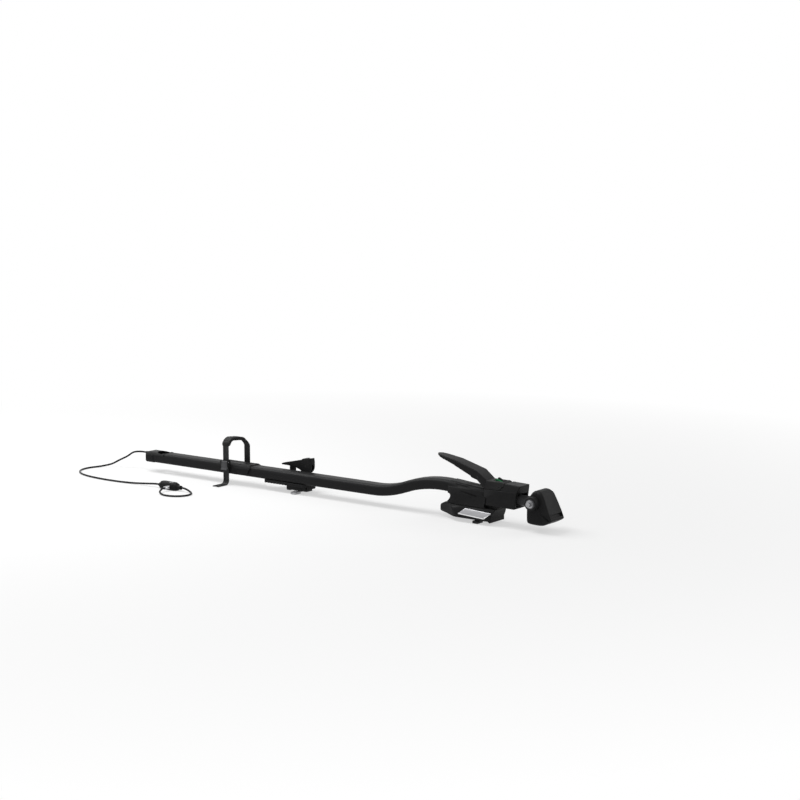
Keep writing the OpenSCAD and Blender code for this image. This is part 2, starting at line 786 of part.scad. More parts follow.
module rear_cam_pin() {
    color([0.62, 0.62, 0.62]) rod_y(rear_x, rear_pivot_z, rear_pin_r, rear_lever_y0, rear_lever_y1);
}

// Front foot
module foot_plan() {
    w = foot_w / 2;
    side = [
        [foot_front + 40, w - 6], [foot_front, w - 6], [foot_front - 8, w], [-90, w], [-104, w - 3], [-134, 19],
        [-foot_rear + 5, 8], [-foot_rear, 4]
    ];
    polygon(concat(side, [for (i = [len(side) - 1:-1:0]) [side[i].x, -side[i].y]]));
}

// On the sloped side of the foot, mirrored for the left
module on_slope(s) {
    mirror([0, s > 0 ? 1 : 0, 0]) translate(slope_at) rotate([0, foot_tilt, 0]) rotate([foot_slope, 0, 0]) children();
}

module plate_outline(grow) {
    l = plate_l / 2 + grow;
    w = plate_w / 2 + grow;
    polygon([[-l - plate_lean, -w], [l - plate_lean, -w], [l + plate_lean, w], [-l + plate_lean, w]]);
}

module foot_plate(s) {
    top = plate_t - plate_sink;
    color([0.72, 0.72, 0.72]) on_slope(s) difference() {
        along_z(-plate_sink, top) plate_outline(0);
        translate([0, -plate_w / 2, top]) rotate([45, 0, 0]) cube([far, 2, 2], center = true);
    }
}

module base_foot() {
    lip_x = track_x + pad_gap + front_pad_l + 0.5;
    color([0.05, 0.05, 0.05]) difference() {
        intersection() {
            along_z(lip_z, foot_top) foot_plan();
            along_y(-far, far) polygon([
                [-foot_rear, rim_z + 4], [-100, rim_z], [lip_x, rim_z], [lip_x + 3, lip_z],
                [foot_front, lip_z + 1], [foot_front, 3], [foot_front + 4, 15], [foot_front + 11, foot_top],
                [-foot_rear + 23, foot_top], [-foot_rear + 5, 18], [-foot_rear, 14]
            ]);
        }
        for (s = [-1, 1]) {
            on_slope(s) span([-far, -far, 0], [far, far, far]);
            on_slope(s) along_z(-plate_sink, 20) plate_outline(0.1);
            rod_z(track_x, s * front_bolt_y, bolt_hole_r, -far, far);
            rod_z(track_x, s * front_bolt_y, 9, nut_z, far);
        }
        foot_pad_form(1, -1);
        foot_pad_form(-1, -1);
    }
}

module foot_pad_form(s, drop) {
    l = s > 0 ? front_pad_l : rear_pad_l;
    translate([track_x + s * (pad_gap + l / 2), 0, seat_z]) along_z(drop, pad_t) round_rect(l, 2 * pad_y, 4);
}

module foot_pad(s) {
    color([0.03, 0.03, 0.03]) foot_pad_form(s, 0);
}

module front_t_bolts() {
    color([0.6, 0.61, 0.62]) for (s = [-1, 1]) translate([track_x, s * front_bolt_y, 0]) t_bolt(nut_z + nut_h + 3);
}

module front_bolt_nuts() {
    color([0.6, 0.61, 0.62]) for (s = [-1, 1]) translate([track_x, s * front_bolt_y, 0]) along_z(nut_z, nut_z + nut_h)
        difference() {
            circle(7.5, $fn = 6);
            circle(bolt_r);
        }
}

// Moulding between the rail, the base and the case
module rail_housing() {
    top = rail_h + housing_wall;
    throat_x = nose_x + 9;
    slot_sink = 2;
    color([0.05, 0.05, 0.05]) difference() {
        intersection() {
            along_y(-half_case, half_case) polygon([
                [throat_x - 19, foot_top], [throat_x - 13, foot_top + 5], [throat_x - 5, foot_top + 11],
                [throat_x - 0.8, foot_top + 17], [throat_x, foot_top + 21], [throat_x - 0.8, foot_top + 24],
                on_nose(6, -housing_wall - 0.8), on_nose(3, -housing_wall), on_nose(0, -housing_wall),
                on_nose(0, top), on_nose(nose_l + 4, top), [seam_x, crease_z - 1.5], [seam_x, foot_top]
            ]);
            union() {
                along_x(-far, far) polygon([
                    [-half_case, 0], [half_case, 0], [half_case, front_rail_z + 2], [rail_w / 2 + 3, front_rail_z + 14],
                    [-rail_w / 2 - 3, front_rail_z + 14], [-half_case, front_rail_z + 2]
                ]);
                along_nose(-20, far) rail_outline(housing_wall);
            }
            along_z(-far, far) polygon([
                [seam_x, half_case], [throat_x + 24, half_case], [throat_x - 4, rail_w / 2 + 3],
                [nose_x - 3, rail_w / 2 + housing_wall], [nose_x - 3, -rail_w / 2 - housing_wall],
                [throat_x - 4, -rail_w / 2 - 3], [throat_x + 24, -half_case], [seam_x, -half_case]
            ]);
        }
        along_nose(-20, nose_l) rail_outline(eps);
        for (s = [-1, 1]) {
            translate([-82, s * (rail_w / 2 - slot_sink), front_rail_z + 21]) rotate([0, nose_angle, 0])
                along_y(s > 0 ? 0 : -half_case, s > 0 ? half_case : 0) stadium(38, 4);
            translate([-58, s * half_case, front_rail_z + 3.5]) rotate([0, nose_angle + 3, 0])
                along_y(-2.5, 2.5) stadium(54, 4.5);
        }
    }
}

// The clamp's case, in two halves
// Section of case and lever across X: upright sides up to the crease, then a slope
module flank_section(low, high) {
    top_y = half_case - flank_run * (high - crease_z);
    polygon([
        [-half_case, low], [half_case, low], [half_case, crease_z], [top_y, high],
        [-top_y, high], [-half_case, crease_z]
    ]);
}

module case_form() {
    difference() {
        intersection() {
            along_y(-half_case, half_case) polygon([
                [seam_x, case_z], [case_front_x - 15, case_z - 1], [case_front_x - 9, crease_z],
                [case_front_x, case_top + 1], [block_x, case_top], [block_x, pivot_z], [pivot_x + 9.2, pivot_z - 0.5],
                [pivot_x + 6.9, skirt_z + 1.6], [pivot_x + 1, crease_z], [seam_x, crease_z]
            ]);
            along_x(-far, far) flank_section(0, case_top + 4);
        }
        rod_y(pivot_x, pivot_z, hub_r + 0.5, -recess_y, recess_y);
    }
    along_y(-half_case + 8, half_case - 8) polygon([
        [seam_x, foot_top], [foot_front + 11, foot_top], [foot_front + 30, case_z + 1], [seam_x, case_z + 1]
    ]);
    for (s = [-1, 1])
        along_y(s > 0 ? cheek_out_y - cheek_t : -cheek_out_y, s > 0 ? cheek_out_y : -cheek_out_y + cheek_t) {
            translate([pivot_x, pivot_z]) circle(cheek_r);
            translate([pivot_x - cheek_r, pivot_z - hub_r - 4]) square([2 * cheek_r, hub_r + 4]);
        }
}

screw_places = [[4, 44], [66, 42], [62, 84]];

module case_half(s) {
    color([0.05, 0.05, 0.05]) difference() {
        case_form();
        along_z(-far, far) translate([-far, s > 0 ? -far : 0]) square([2 * far, far]);
        span([follower_x0 - 1, -follower_w / 2 - gap, neck_z - draw_r - 2],
            [follower_x1 + travel + 1.5, follower_w / 2 + gap, far]);
        rod_x(0, neck_z, draw_r + 1, follower_x0 - 1, far);
        rod_x(0, neck_z, neck_r + eps, neck_rear_x, far);
        rod_y(pivot_x, pivot_z, pivot_r + pin_fit, -far, far);
        for (p = screw_places) {
            rod_y(p.x, p.y, 2, -half_case + 6, far);
            rod_y(p.x, p.y, 4, 12, far);
        }
    }
}

module case_screws() {
    color([0.4, 0.4, 0.4]) for (p = screw_places) translate([p.x, 0, p.y]) {
        rod_y(0, 0, 2, -half_case + 6, 12 + eps);
        rod_y(0, 0, 3.8, 12, 16);
    }
}

// Lever: sections along the arm, given as place, top, bottom, width at the top and at the bottom
arm = [
    [-171, 150.5, 146, 25, 26], [-150, 147.5, 139.5, 33, 35], [-108, 140, 126.5, 40, 43], [-37, 119, 98, 46, 50],
    [-8, case_top, skirt_z, case_top_w + 1, case_w - 1]
];
arm_round = 3;

module arm_section(k, inset, drop) {
    top = arm[k][1] - inset;
    low = arm[k][2] - drop;
    w = arm[k][3] / 2 - inset;
    v = arm[k][4] / 2 - inset;
    side = concat(
        [for (a = [90:-30:0]) [w - arm_round + arm_round * cos(a), top - arm_round + arm_round * sin(a)]], [[v, low]]
    );
    translate([arm[k][0], 0, 0]) along_x(0, 0.1)
        polygon(concat(side, [for (i = [len(side) - 1:-1:0]) [-side[i].x, side[i].y]]));
}

module lever_arm() {
    for (i = [0:3]) hull() {
        arm_section(i, 0, 0);
        arm_section(i + 1, 0, 0);
    }
}

module lever_hollow() {
    for (i = [1:3]) hull() {
        arm_section(i, lever_wall, 8);
        arm_section(i + 1, lever_wall, 8);
    }
}

// Hub over the pivot, between the arm and the case's front block
module hub_form() {
    intersection() {
        along_y(-half_case, half_case) {
            intersection() {
                translate([pivot_x, pivot_z]) circle(hub_r);
                translate([pivot_x, pivot_z]) square([hub_r, case_top - pivot_z]);
            }
            polygon([
                [-8, case_top], [pivot_x + eps, case_top], [pivot_x + eps, pivot_z], [pivot_x + 8.4, pivot_z],
                [pivot_x + 6, skirt_z + 2.4], [pivot_x, skirt_z], [-8, skirt_z]
            ]);
        }
        along_x(-far, far) flank_section(0, case_top + 1);
    }
}

module clamp_lever() {
    color([0.1, 0.1, 0.1]) difference() {
        union() {
            lever_arm();
            hub_form();
        }
        lever_hollow();
        along_y(-disc_in_y, disc_in_y) polygon([
            [-9, 0], [pivot_x + hub_r + 2, 0], [pivot_x + hub_r + 2, pivot_z + 8], [pivot_x + 5, pivot_z + 8],
            [pivot_x, case_top - lever_wall], [-9, case_top - lever_wall]
        ]);
        span([5, -10.5, pivot_z], [pivot_x + 2, 10.5, far]);
        rod_y(pivot_x, pivot_z, pivot_r + 0.02, -far, far);
        rod_y(trigger_pin_x, trigger_pin_z, trigger_pin_r + 0.02, -far, far);
    }
}

module lever_pivot_pin() {
    color([0.62, 0.62, 0.62]) rod_y(pivot_x, pivot_z, pivot_r, -recess_y + 1.2, recess_y - 1.2);
}

module lever_cam() {
    color([0.62, 0.62, 0.62]) difference() {
        rod_y(pivot_x + cam_dx, pivot_z + cam_dz, cam_r, -cam_w / 2, cam_w / 2);
        rod_y(pivot_x, pivot_z, pivot_r + 0.02, -far, far);
    }
}

module release_trigger() {
    color([0.06, 0.06, 0.06]) difference() {
        along_y(-trigger_w / 2, trigger_w / 2) {
            translate([trigger_pin_x, trigger_pin_z]) circle(5);
            polygon([
                [-65, 108], [-62, 100], [-58, 98], [-32, 91], [-24, 87], [-20, 90], [-27, 97],
                [trigger_pin_x + 5, trigger_pin_z], [trigger_pin_x - 3, trigger_pin_z + 4], [-60, 112]
            ]);
        }
        rod_y(trigger_pin_x, trigger_pin_z, trigger_pin_r + pin_fit, -far, far);
        rod_y(trigger_pin_x, trigger_pin_z, 6.4, -6, 6);
    }
}

module trigger_pin() {
    reach = 24.5;
    color([0.62, 0.62, 0.62]) rod_y(trigger_pin_x, trigger_pin_z, trigger_pin_r, -reach, reach);
}

module trigger_spring() {
    color([0.55, 0.55, 0.55]) difference() {
        rod_y(trigger_pin_x, trigger_pin_z, 3.6, -5, 5);
        rod_y(trigger_pin_x, trigger_pin_z, trigger_pin_r + eps, -far, far);
    }
}

// Draw bar: follower behind the cam, rod through the neck, wedge between the mandrels
module draw_bar() {
    color([0.6, 0.61, 0.62]) union() {
        span([follower_x0, -follower_w / 2, neck_z - draw_r], [follower_x1, follower_w / 2, follower_top]);
        rod_x(0, neck_z, draw_r, follower_x1 - eps, wedge_tail + 0.5);
        along_z(axle_z - wedge_h / 2, axle_z + wedge_h / 2) polygon([
            [wedge_tail, wedge_rear_w], [wedge_nose, wedge_front_w], [wedge_nose, -wedge_front_w],
            [wedge_tail, -wedge_rear_w]
        ]);
    }
}

module lock_indicator() {
    color([0.1, 0.45, 0.24]) translate([follower_x0 - 2, 0, 0]) {
        along_z(follower_top, case_top - 2) translate([follower_t / 2 + 2, 0]) square([follower_t, 8], center = true);
        along_z(case_top - 2 - eps, indicator_top) translate([2, 0]) round_rect(20, 15, 2);
    }
}

module neck_tube() {
    front_x = axle_x - boss_r - 3;
    color([0.36, 0.36, 0.37]) difference() {
        rod_x(0, neck_z, neck_r, neck_rear_x, front_x);
        rod_x(0, neck_z, draw_r + pin_fit, -far, far);
    }
}

// Fork head
module head_form() {
    rear = axle_x - boss_r - 3;
    intersection() {
        along_y(-head_w / 2, head_w / 2) polygon([
            [rear + 3, 6], [rear + 12, 4], [head_front_x - 24, 3], [head_front_x + 1, 16.5], [head_front_x + 2.5, 19],
            [head_front_x - 17, 63], [head_front_x - 26, 81], [head_front_x - 34, 88], [head_front_x - 42, head_top],
            [head_front_x - 53, head_top - 1], [rear + 8, 77], [rear + 2, 66], [rear, 52], [rear, 30]
        ]);
        along_x(-far, far) polygon([
            [-head_w / 2 + 3, 0], [head_w / 2 - 3, 0], [head_w / 2, 8], [head_w / 2, 40], [head_w / 2 - 5, head_top - 8],
            [head_w / 2 - 12, head_top + 1], [-head_w / 2 + 12, head_top + 1], [-head_w / 2 + 5, head_top - 8],
            [-head_w / 2, 40], [-head_w / 2, 8]
        ]);
        along_z(-far, far) polygon([
            [rear, -24], [rear + 10, -head_w / 2], [head_front_x - 10, -head_w / 2], [head_front_x - 5, -head_w / 2 + 2],
            [head_front_x + 0.5, -head_w / 2 + 7], [head_front_x + 3, -head_w / 2 + 12],
            [head_front_x + 3, head_w / 2 - 12], [head_front_x + 0.5, head_w / 2 - 7],
            [head_front_x - 5, head_w / 2 - 2], [head_front_x - 10, head_w / 2], [rear + 10, head_w / 2], [rear, 24]
        ]);
    }
}

// Everything ahead of the line where the cover meets the body
module cover_zone() {
    along_y(-far, far) polygon([
        [head_front_x - cover_back, far], [head_front_x - cover_back, head_top + 2], [head_front_x - cover_foot, -2],
        [head_front_x - cover_foot, -far], [far, -far], [far, far]
    ]);
}

module head_body() {
    cavity_y = wedge_front_w + travel + 4;
    color([0.05, 0.05, 0.05]) difference() {
        union() {
            difference() {
                head_form();
                cover_zone();
            }
            rod_y(axle_x, axle_z, boss_r, -boss_y, boss_y);
        }
        rod_y(axle_x, axle_z, mandrel_r + 1, -far, far);
        for (s = [-1, 1])
            rod_y(axle_x, axle_z, mandrel_r + bush_wall, s > 0 ? boss_y - bush_l : -far, s > 0 ? far : -boss_y + bush_l);
        span([wedge_tail - 1.5, -cavity_y, axle_z - wedge_h / 2 - 1], [wedge_nose + travel + 2, cavity_y, axle_z + wedge_h / 2 + 1]);
        rod_x(0, neck_z, draw_r + 1, 0, axle_x);
    }
}

module head_cover() {
    color([0.05, 0.05, 0.05]) difference() {
        intersection() {
            head_form();
            cover_zone();
        }
        span([0, -20, axle_z - wedge_h / 2 - 1], [wedge_nose + travel + 2, 20, axle_z + wedge_h / 2 + 1]);
        rod_y(axle_x, axle_z, boss_r + 0.1, -far, far);
        translate([head_front_x - 2, 0, 30]) rotate([0, -23.9, 0]) along_x(-4, far) round_rect(head_w - 14, 8, 3);
    }
}

module head_bush(s) {
    color([0.55, 0.5, 0.4]) difference() {
        rod_y(axle_x, axle_z, mandrel_r + bush_wall, s > 0 ? boss_y - bush_l : -boss_y, s > 0 ? boss_y : -boss_y + bush_l);
        rod_y(axle_x, axle_z, mandrel_r + pin_fit, -far, far);
    }
}

// Expanding mandrel: sliding body with a slanted inner end, then the free end for the fork
module axle_mandrel(s) {
    shoulder_y = fork_w / 2;
    slant = wedge_front_w + wedge_fit;
    color([0.66, 0.67, 0.68]) difference() {
        union() {
            mirror([0, s > 0 ? 0 : 1, 0]) {
                rod_y(axle_x, axle_z, mandrel_r, 2, shoulder_y);
                rod_y(axle_x, axle_z, axle_r, shoulder_y - eps, shoulder_y + axle_l);
            }
        }
        mirror([0, s > 0 ? 0 : 1, 0]) along_z(-far, far) polygon([
            [wedge_nose - 40, slant - 40 * wedge_slope], [wedge_nose + 20, slant + 20 * wedge_slope],
            [wedge_nose + 20, -60], [wedge_nose - 40, -60]
        ]);
    }
}

// Moves the drawn pieces so that the origin lies on the front foot's seat, over the track
module placed() {
    translate([-track_x, 0, -seat_z]) children();
}

placed() rail();
placed() rail_end_cap();
placed() cable_gland();
placed() lock_cable();
placed() lock_loop();
placed() lock_body();
placed() lock_barrel();
placed() loop_plug();
placed() wheel_tray();
placed() wheel_strap();
placed() rim_pad();
placed() strap_anchor_pin();
placed() buckle_body();
placed() buckle_lever();
placed() buckle_pin();
placed() rear_foot();
placed() rear_foot_pad();
placed() rear_slider();
placed() rear_slider_screws();
placed() rear_locating_lug();
placed() rear_t_bolt();
placed() rear_cam_lever();
placed() rear_cam_pin();
placed() base_foot();
placed() foot_plate(1);  // foot_plate_left
placed() foot_plate(-1);  // foot_plate_right
placed() foot_pad(1);  // foot_pad_front
placed() foot_pad(-1);  // foot_pad_rear
placed() front_t_bolts();
placed() front_bolt_nuts();
placed() rail_housing();
placed() case_half(1);  // case_left
placed() case_half(-1);  // case_right
placed() case_screws();
placed() clamp_lever();
placed() lever_pivot_pin();
placed() lever_cam();
placed() release_trigger();
placed() trigger_pin();
placed() trigger_spring();
placed() draw_bar();
placed() lock_indicator();
placed() neck_tube();
placed() head_body();
placed() head_cover();
placed() head_bush(1);  // head_bush_left
placed() head_bush(-1);  // head_bush_right
placed() axle_mandrel(1);  // axle_mandrel_left
placed() axle_mandrel(-1);  // axle_mandrel_right
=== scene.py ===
"""Looks of the roof mounted bike carrier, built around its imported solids."""

import json
import math

import bmesh
import bpy
from mathutils import Matrix, Vector

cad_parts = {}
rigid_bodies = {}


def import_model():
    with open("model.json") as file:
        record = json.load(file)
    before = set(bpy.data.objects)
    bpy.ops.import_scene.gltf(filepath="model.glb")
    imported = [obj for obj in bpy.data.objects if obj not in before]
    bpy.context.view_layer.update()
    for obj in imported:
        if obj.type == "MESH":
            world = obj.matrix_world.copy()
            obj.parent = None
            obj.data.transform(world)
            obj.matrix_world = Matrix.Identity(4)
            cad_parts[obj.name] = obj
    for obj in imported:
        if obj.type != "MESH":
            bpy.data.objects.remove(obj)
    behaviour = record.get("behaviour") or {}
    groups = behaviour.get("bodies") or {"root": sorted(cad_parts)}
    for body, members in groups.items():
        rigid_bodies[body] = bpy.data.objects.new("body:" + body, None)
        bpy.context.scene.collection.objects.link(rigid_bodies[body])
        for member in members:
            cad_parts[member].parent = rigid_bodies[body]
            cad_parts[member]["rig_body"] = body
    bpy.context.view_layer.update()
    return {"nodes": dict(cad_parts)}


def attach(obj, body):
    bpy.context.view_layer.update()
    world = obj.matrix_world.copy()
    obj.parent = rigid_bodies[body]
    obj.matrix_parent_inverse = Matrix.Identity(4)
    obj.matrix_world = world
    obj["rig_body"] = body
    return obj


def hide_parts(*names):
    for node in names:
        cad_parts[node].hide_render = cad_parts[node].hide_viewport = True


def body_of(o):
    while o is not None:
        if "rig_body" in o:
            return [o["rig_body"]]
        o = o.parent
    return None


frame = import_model()
nodes = frame["nodes"]
scene = bpy.context.scene
MM = 0.001

# The solids are drawn from a point 36 mm ahead of the frame's origin and 6 mm above it
OFFSET = Vector((36, 0, 6))


def at(x, y, z):
    """A point in the source's millimetres, in the frame's metres."""
    return (Vector((x, y, z)) + OFFSET) * MM


def new_object(name, data):
    """An object in the scene."""
    obj = bpy.data.objects.new(name, data)
    scene.collection.objects.link(obj)
    return obj


# Materials
CLOUDING = 0.14


def new_material(name):
    mat = bpy.data.materials.new(name)
    mat.use_nodes = True
    tree = mat.node_tree
    shader = tree.nodes["Principled BSDF"]
    coords = tree.nodes.new("ShaderNodeTexCoord")
    return mat, tree, shader, coords.outputs["Object"]


def noise(tree, coords, scale, detail=3.0, stretch=None):
    """A noise in metres, drawn out along an axis by stretch."""
    node = tree.nodes.new("ShaderNodeTexNoise")
    node.inputs["Scale"].default_value = scale
    node.inputs["Detail"].default_value = detail
    if stretch is None:
        tree.links.new(coords, node.inputs["Vector"])
        return node.outputs["Fac"]
    mapping = tree.nodes.new("ShaderNodeMapping")
    mapping.inputs["Scale"].default_value = stretch
    tree.links.new(coords, mapping.inputs["Vector"])
    tree.links.new(mapping.outputs["Vector"], node.inputs["Vector"])
    return node.outputs["Fac"]


def ramp(tree, fac, low, high, start=0.3, end=0.7):
    """Colours or values between two ends."""
    node = tree.nodes.new("ShaderNodeValToRGB")
    node.color_ramp.elements[0].position = start
    node.color_ramp.elements[1].position = end
    for element, value in zip(node.color_ramp.elements, (low, high)):
        colour = value if hasattr(value, "__len__") else (value, value, value)
        element.color = (colour[0], colour[1], colour[2], 1.0)
    tree.links.new(fac, node.inputs["Fac"])
    return node.outputs["Color"]


def mixed(tree, fac, a, b):
    """Colour b laid over colour a by fac."""
    node = tree.nodes.new("ShaderNodeMix")
    node.data_type = "RGBA"
    tree.links.new(fac, node.inputs["Factor"])
    tree.links.new(a, node.inputs[6])
    tree.links.new(b, node.inputs[7])
    return node.outputs[2]


def worn_edges(tree, base, wear):
    """Edges rubbed a little paler than the faces."""
    geometry = tree.nodes.new("ShaderNodeNewGeometry")
    edge = ramp(tree, geometry.outputs["Pointiness"], 0.0, 1.0, 0.52, 0.62)
    pale = tree.nodes.new("ShaderNodeRGB")
    pale.outputs[0].default_value = (wear[0], wear[1], wear[2], 1.0)
    return mixed(tree, edge, base, pale.outputs[0])


def relief(tree, shader, height, distance, strength, edge=0.0):
    """Bump from a height, over edges that are rounded by edge."""
    bump = tree.nodes.new("ShaderNodeBump")
    bump.inputs["Strength"].default_value = strength
    bump.inputs["Distance"].default_value = distance
    tree.links.new(height, bump.inputs["Height"])
    if edge > 0:
        bevel = tree.nodes.new("ShaderNodeBevel")
        bevel.samples = 4
        bevel.inputs["Radius"].default_value = edge
        tree.links.new(bevel.outputs["Normal"], bump.inputs["Normal"])
    tree.links.new(bump.outputs["Normal"], shader.inputs["Normal"])


def moulded(name, colour, rough, grain=1400.0, depth=0.00012, wear=1.8, edge=0.0009, shine=0.075):
    """Moulded plastic: fine grain, faint clouding, and edges rubbed paler."""
    mat, tree, shader, coords = new_material(name)
    shader.inputs["Specular IOR Level"].default_value = shine
    cloud = noise(tree, coords, 55.0, 5.0)
    low = [c * (1 - CLOUDING) for c in colour]
    high = [c * (1 + CLOUDING) for c in colour]
    base = ramp(tree, cloud, low, high)
    tree.links.new(worn_edges(tree, base, [c * wear for c in colour]), shader.inputs["Base Color"])
    smear = noise(tree, coords, 24.0, 6.0)
    tree.links.new(ramp(tree, smear, rough - 0.06, rough + 0.07), shader.inputs["Roughness"])
    relief(tree, shader, noise(tree, coords, grain, 2.0), depth, 0.5, edge)
    return mat


def metal(name, colour, rough, along, scratch=900.0, edge=0.0005, metallic=1.0, depth=0.00004, shine=0.5):
    """Metal with fine lines drawn out along one axis."""
    mat, tree, shader, coords = new_material(name)
    stretch = [1.0, 1.0, 1.0]
    stretch[along] = 0.03
    lines = noise(tree, coords, scratch, 2.0, stretch)
    low = [c * 0.88 for c in colour]
    high = [min(1.0, c * 1.08) for c in colour]
    tree.links.new(ramp(tree, lines, low, high), shader.inputs["Base Color"])
    tree.links.new(ramp(tree, lines, rough - 0.05, rough + 0.08), shader.inputs["Roughness"])
    shader.inputs["Metallic"].default_value = metallic
    shader.inputs["Specular IOR Level"].default_value = shine
    relief(tree, shader, lines, depth, 0.4, edge)
    return mat


def rubber(name, colour, rough=0.75):
    """Matt rubber with a dusty bloom."""
    mat, tree, shader, coords = new_material(name)
    shader.inputs["Specular IOR Level"].default_value = 0.2
    bloom = noise(tree, coords, 130.0, 6.0)
    tree.links.new(ramp(tree, bloom, colour, [c * 1.7 for c in colour]), shader.inputs["Base Color"])
    tree.links.new(ramp(tree, bloom, rough - 0.08, rough + 0.1), shader.inputs["Roughness"])
    relief(tree, shader, noise(tree, coords, 900.0, 3.0), 0.0002, 0.5, 0.0006)
    return mat


BLACK = (0.0105, 0.0105, 0.0108)
M = {
    "rail": metal("rail_black_anodised", (0.0085, 0.0085, 0.0089), 0.46, along=0, scratch=700.0, edge=0.0006,
                  metallic=0.0, depth=0.00003, shine=0.11),
    "black": moulded("black_moulding", BLACK, 0.46),
    "black_smooth": moulded("black_moulding_smooth", BLACK, 0.44, grain=2200.0, depth=0.00006),
    "dark": moulded("dark_grey_moulding", (0.070, 0.070, 0.073), 0.42, grain=1600.0, depth=0.0001, wear=1.4),
    "strap": moulded("strap_plastic", (0.0150, 0.0150, 0.0155), 0.40, grain=2600.0, depth=0.00005, wear=1.6,
                     edge=0.0005, shine=0.16),
    "rubber": rubber("black_rubber", (0.0055, 0.0055, 0.0055)),
    "pad": moulded("soft_black_sleeve", (0.0100, 0.0100, 0.0102), 0.45, grain=2200.0, depth=0.00008, wear=1.5,
                   edge=0.0006, shine=0.14),
    "steel": metal("plated_steel", (0.34, 0.34, 0.35), 0.34, along=1),
    "black_steel": metal("blackened_steel", (0.020, 0.020, 0.021), 0.45, along=1, edge=0.0004, metallic=0.6,
                         depth=0.00003, shine=0.3),
    "zinc": metal("satin_zinc", (0.55, 0.55, 0.56), 0.30, along=2, scratch=1200.0),
    "plate": metal("satin_aluminium", (0.35, 0.35, 0.36), 0.42, along=0, scratch=1100.0, edge=0.0006),
    # The plates' rolled edges: the same aluminium painted brighter, a painted highlight
    "plate_painted_highlight": metal("aluminium_painted_highlight", (0.88, 0.88, 0.88), 0.30, along=0, scratch=1300.0, edge=0.0003),
    "neck": moulded("dark_coated_metal", (0.030, 0.030, 0.031), 0.38, grain=1900.0, depth=0.00006),
    "green": moulded("green_plastic", (0.012, 0.105, 0.040), 0.34, grain=2000.0, depth=0.00005, wear=1.2),
    "cable": moulded("cable_coating", (0.010, 0.010, 0.011), 0.24, grain=3000.0, depth=0.00003, wear=1.4,
                     edge=0.0),
}

# The finish of each node, which its moulded copy keeps
FINISH = {
    "rail": "rail", "rail_end_cap": "black", "cable_gland": "rubber", "lock_body": "black",
    "lock_barrel": "zinc", "loop_plug": "zinc", "wheel_tray": "black", "rim_pad": "rubber",
    "strap_anchor_pin": "steel", "buckle_body": "black_smooth", "buckle_lever": "dark",
    "buckle_pin": "steel", "rear_foot": "black", "rear_foot_pad": "rubber", "rear_slider": "steel",
    "rear_slider_screws": "steel", "rear_locating_lug": "steel", "rear_t_bolt": "black_steel",
    "rear_cam_lever": "black", "rear_cam_pin": "black_steel", "base_foot": "black",
    "foot_plate_left": "plate", "foot_plate_right": "plate", "foot_pad_front": "rubber",
    "foot_pad_rear": "rubber", "front_t_bolts": "black_steel", "front_bolt_nuts": "steel",
    "rail_housing": "black", "case_left": "black", "case_right": "black", "case_screws": "steel",
    "clamp_lever": "black_smooth", "lever_pivot_pin": "black_steel", "lever_cam": "steel",
    "release_trigger": "black", "trigger_pin": "black_steel", "trigger_spring": "steel",
    "draw_bar": "steel", "lock_indicator": "green", "neck_tube": "neck", "head_body": "black",
    "head_cover": "black_smooth", "head_bush_left": "dark", "head_bush_right": "dark",
    "axle_mandrel_left": "steel", "axle_mandrel_right": "steel", "lock_cable": "cable",
    "lock_loop": "cable", "wheel_strap": "strap",
}
for name, key in FINISH.items():
    nodes[name].data.materials.clear()
    nodes[name].data.materials.append(M[key])


# Mouldings: copies of the solids with their longer edges rounded, and small cuts made in them
WELD = 2e-6
FLAT = math.radians(0.8)
ROUNDED_FROM = math.radians(24.0)
ROUND_STEPS = 3
ON_MIDDLE = 2e-5
ON_SEAM = 4e-4


def tube_faces(rings, n):
    """Faces of a closed skin over rings of n points each."""
    faces = [tuple(range(n - 1, -1, -1)), tuple(range((rings - 1) * n, rings * n))]
    for i in range(rings - 1):
        for j in range(n):
            k = (j + 1) % n
            faces.append((i * n + j, i * n + k, (i + 1) * n + k, (i + 1) * n + j))
    return faces


def cut_away(obj, cutter):
    """Takes one closed mesh out of another, and drops the cutter."""
    cut = obj.modifiers.new("cut", "BOOLEAN")
    cut.object = cutter
    cut.operation = "DIFFERENCE"
    cut.solver = "EXACT"
    bpy.context.view_layer.update()
    made = bpy.data.meshes.new_from_object(obj.evaluated_get(bpy.context.evaluated_depsgraph_get()))
    obj.modifiers.clear()
    obj.data = made
    bpy.data.objects.remove(cutter)


def turn_outwards(mesh):
    """Turns the faces of a closed mesh outwards."""
    work = bmesh.new()
    work.from_mesh(mesh)
    bmesh.ops.recalc_face_normals(work, faces=work.faces)
    work.to_mesh(mesh)
    work.free()


def cutter_object(name, verts, faces):
    """A closed mesh in the source's millimetres, to cut with."""
    mesh = bpy.data.meshes.new(name)
    mesh.from_pydata([at(*v) for v in verts], [], faces)
    turn_outwards(mesh)
    return new_object(name, mesh)


def rounded_slot(name, length, height, depth, place, tilt, corner):
    """A bar with round corners, to cut a recess with: length along Y, height up, depth along X."""
    clear = 30.0
    outline = []
    for sy, sz, start in ((1, 1, 0), (-1, 1, 90), (-1, -1, 180), (1, -1, 270)):
        for k in range(5):
            r = math.radians(start + 22.5 * k)
            outline.append((sy * (length / 2 - corner) + corner * math.cos(r),
                            sz * (height / 2 - corner) + corner * math.sin(r)))
    turn = Matrix.Rotation(math.radians(tilt), 3, "Y")
    verts = []
    for x in (-depth, clear):
        for y, z in outline:
            verts.append(Vector(place) + turn @ Vector((x, y, z)))
    return cutter_object(name, verts, tube_faces(2, len(outline)))


def side_groove(name, path, width, inner, outer):
    """A bar along Y whose section is a jagged line of some width in the XZ plane."""
    outline = list(path) + [(x + width, z) for x, z in reversed(path)]
    verts = [(x, inner, z) for x, z in outline] + [(x, outer, z) for x, z in outline]
    return cutter_object(name, verts, tube_faces(2, len(outline)))


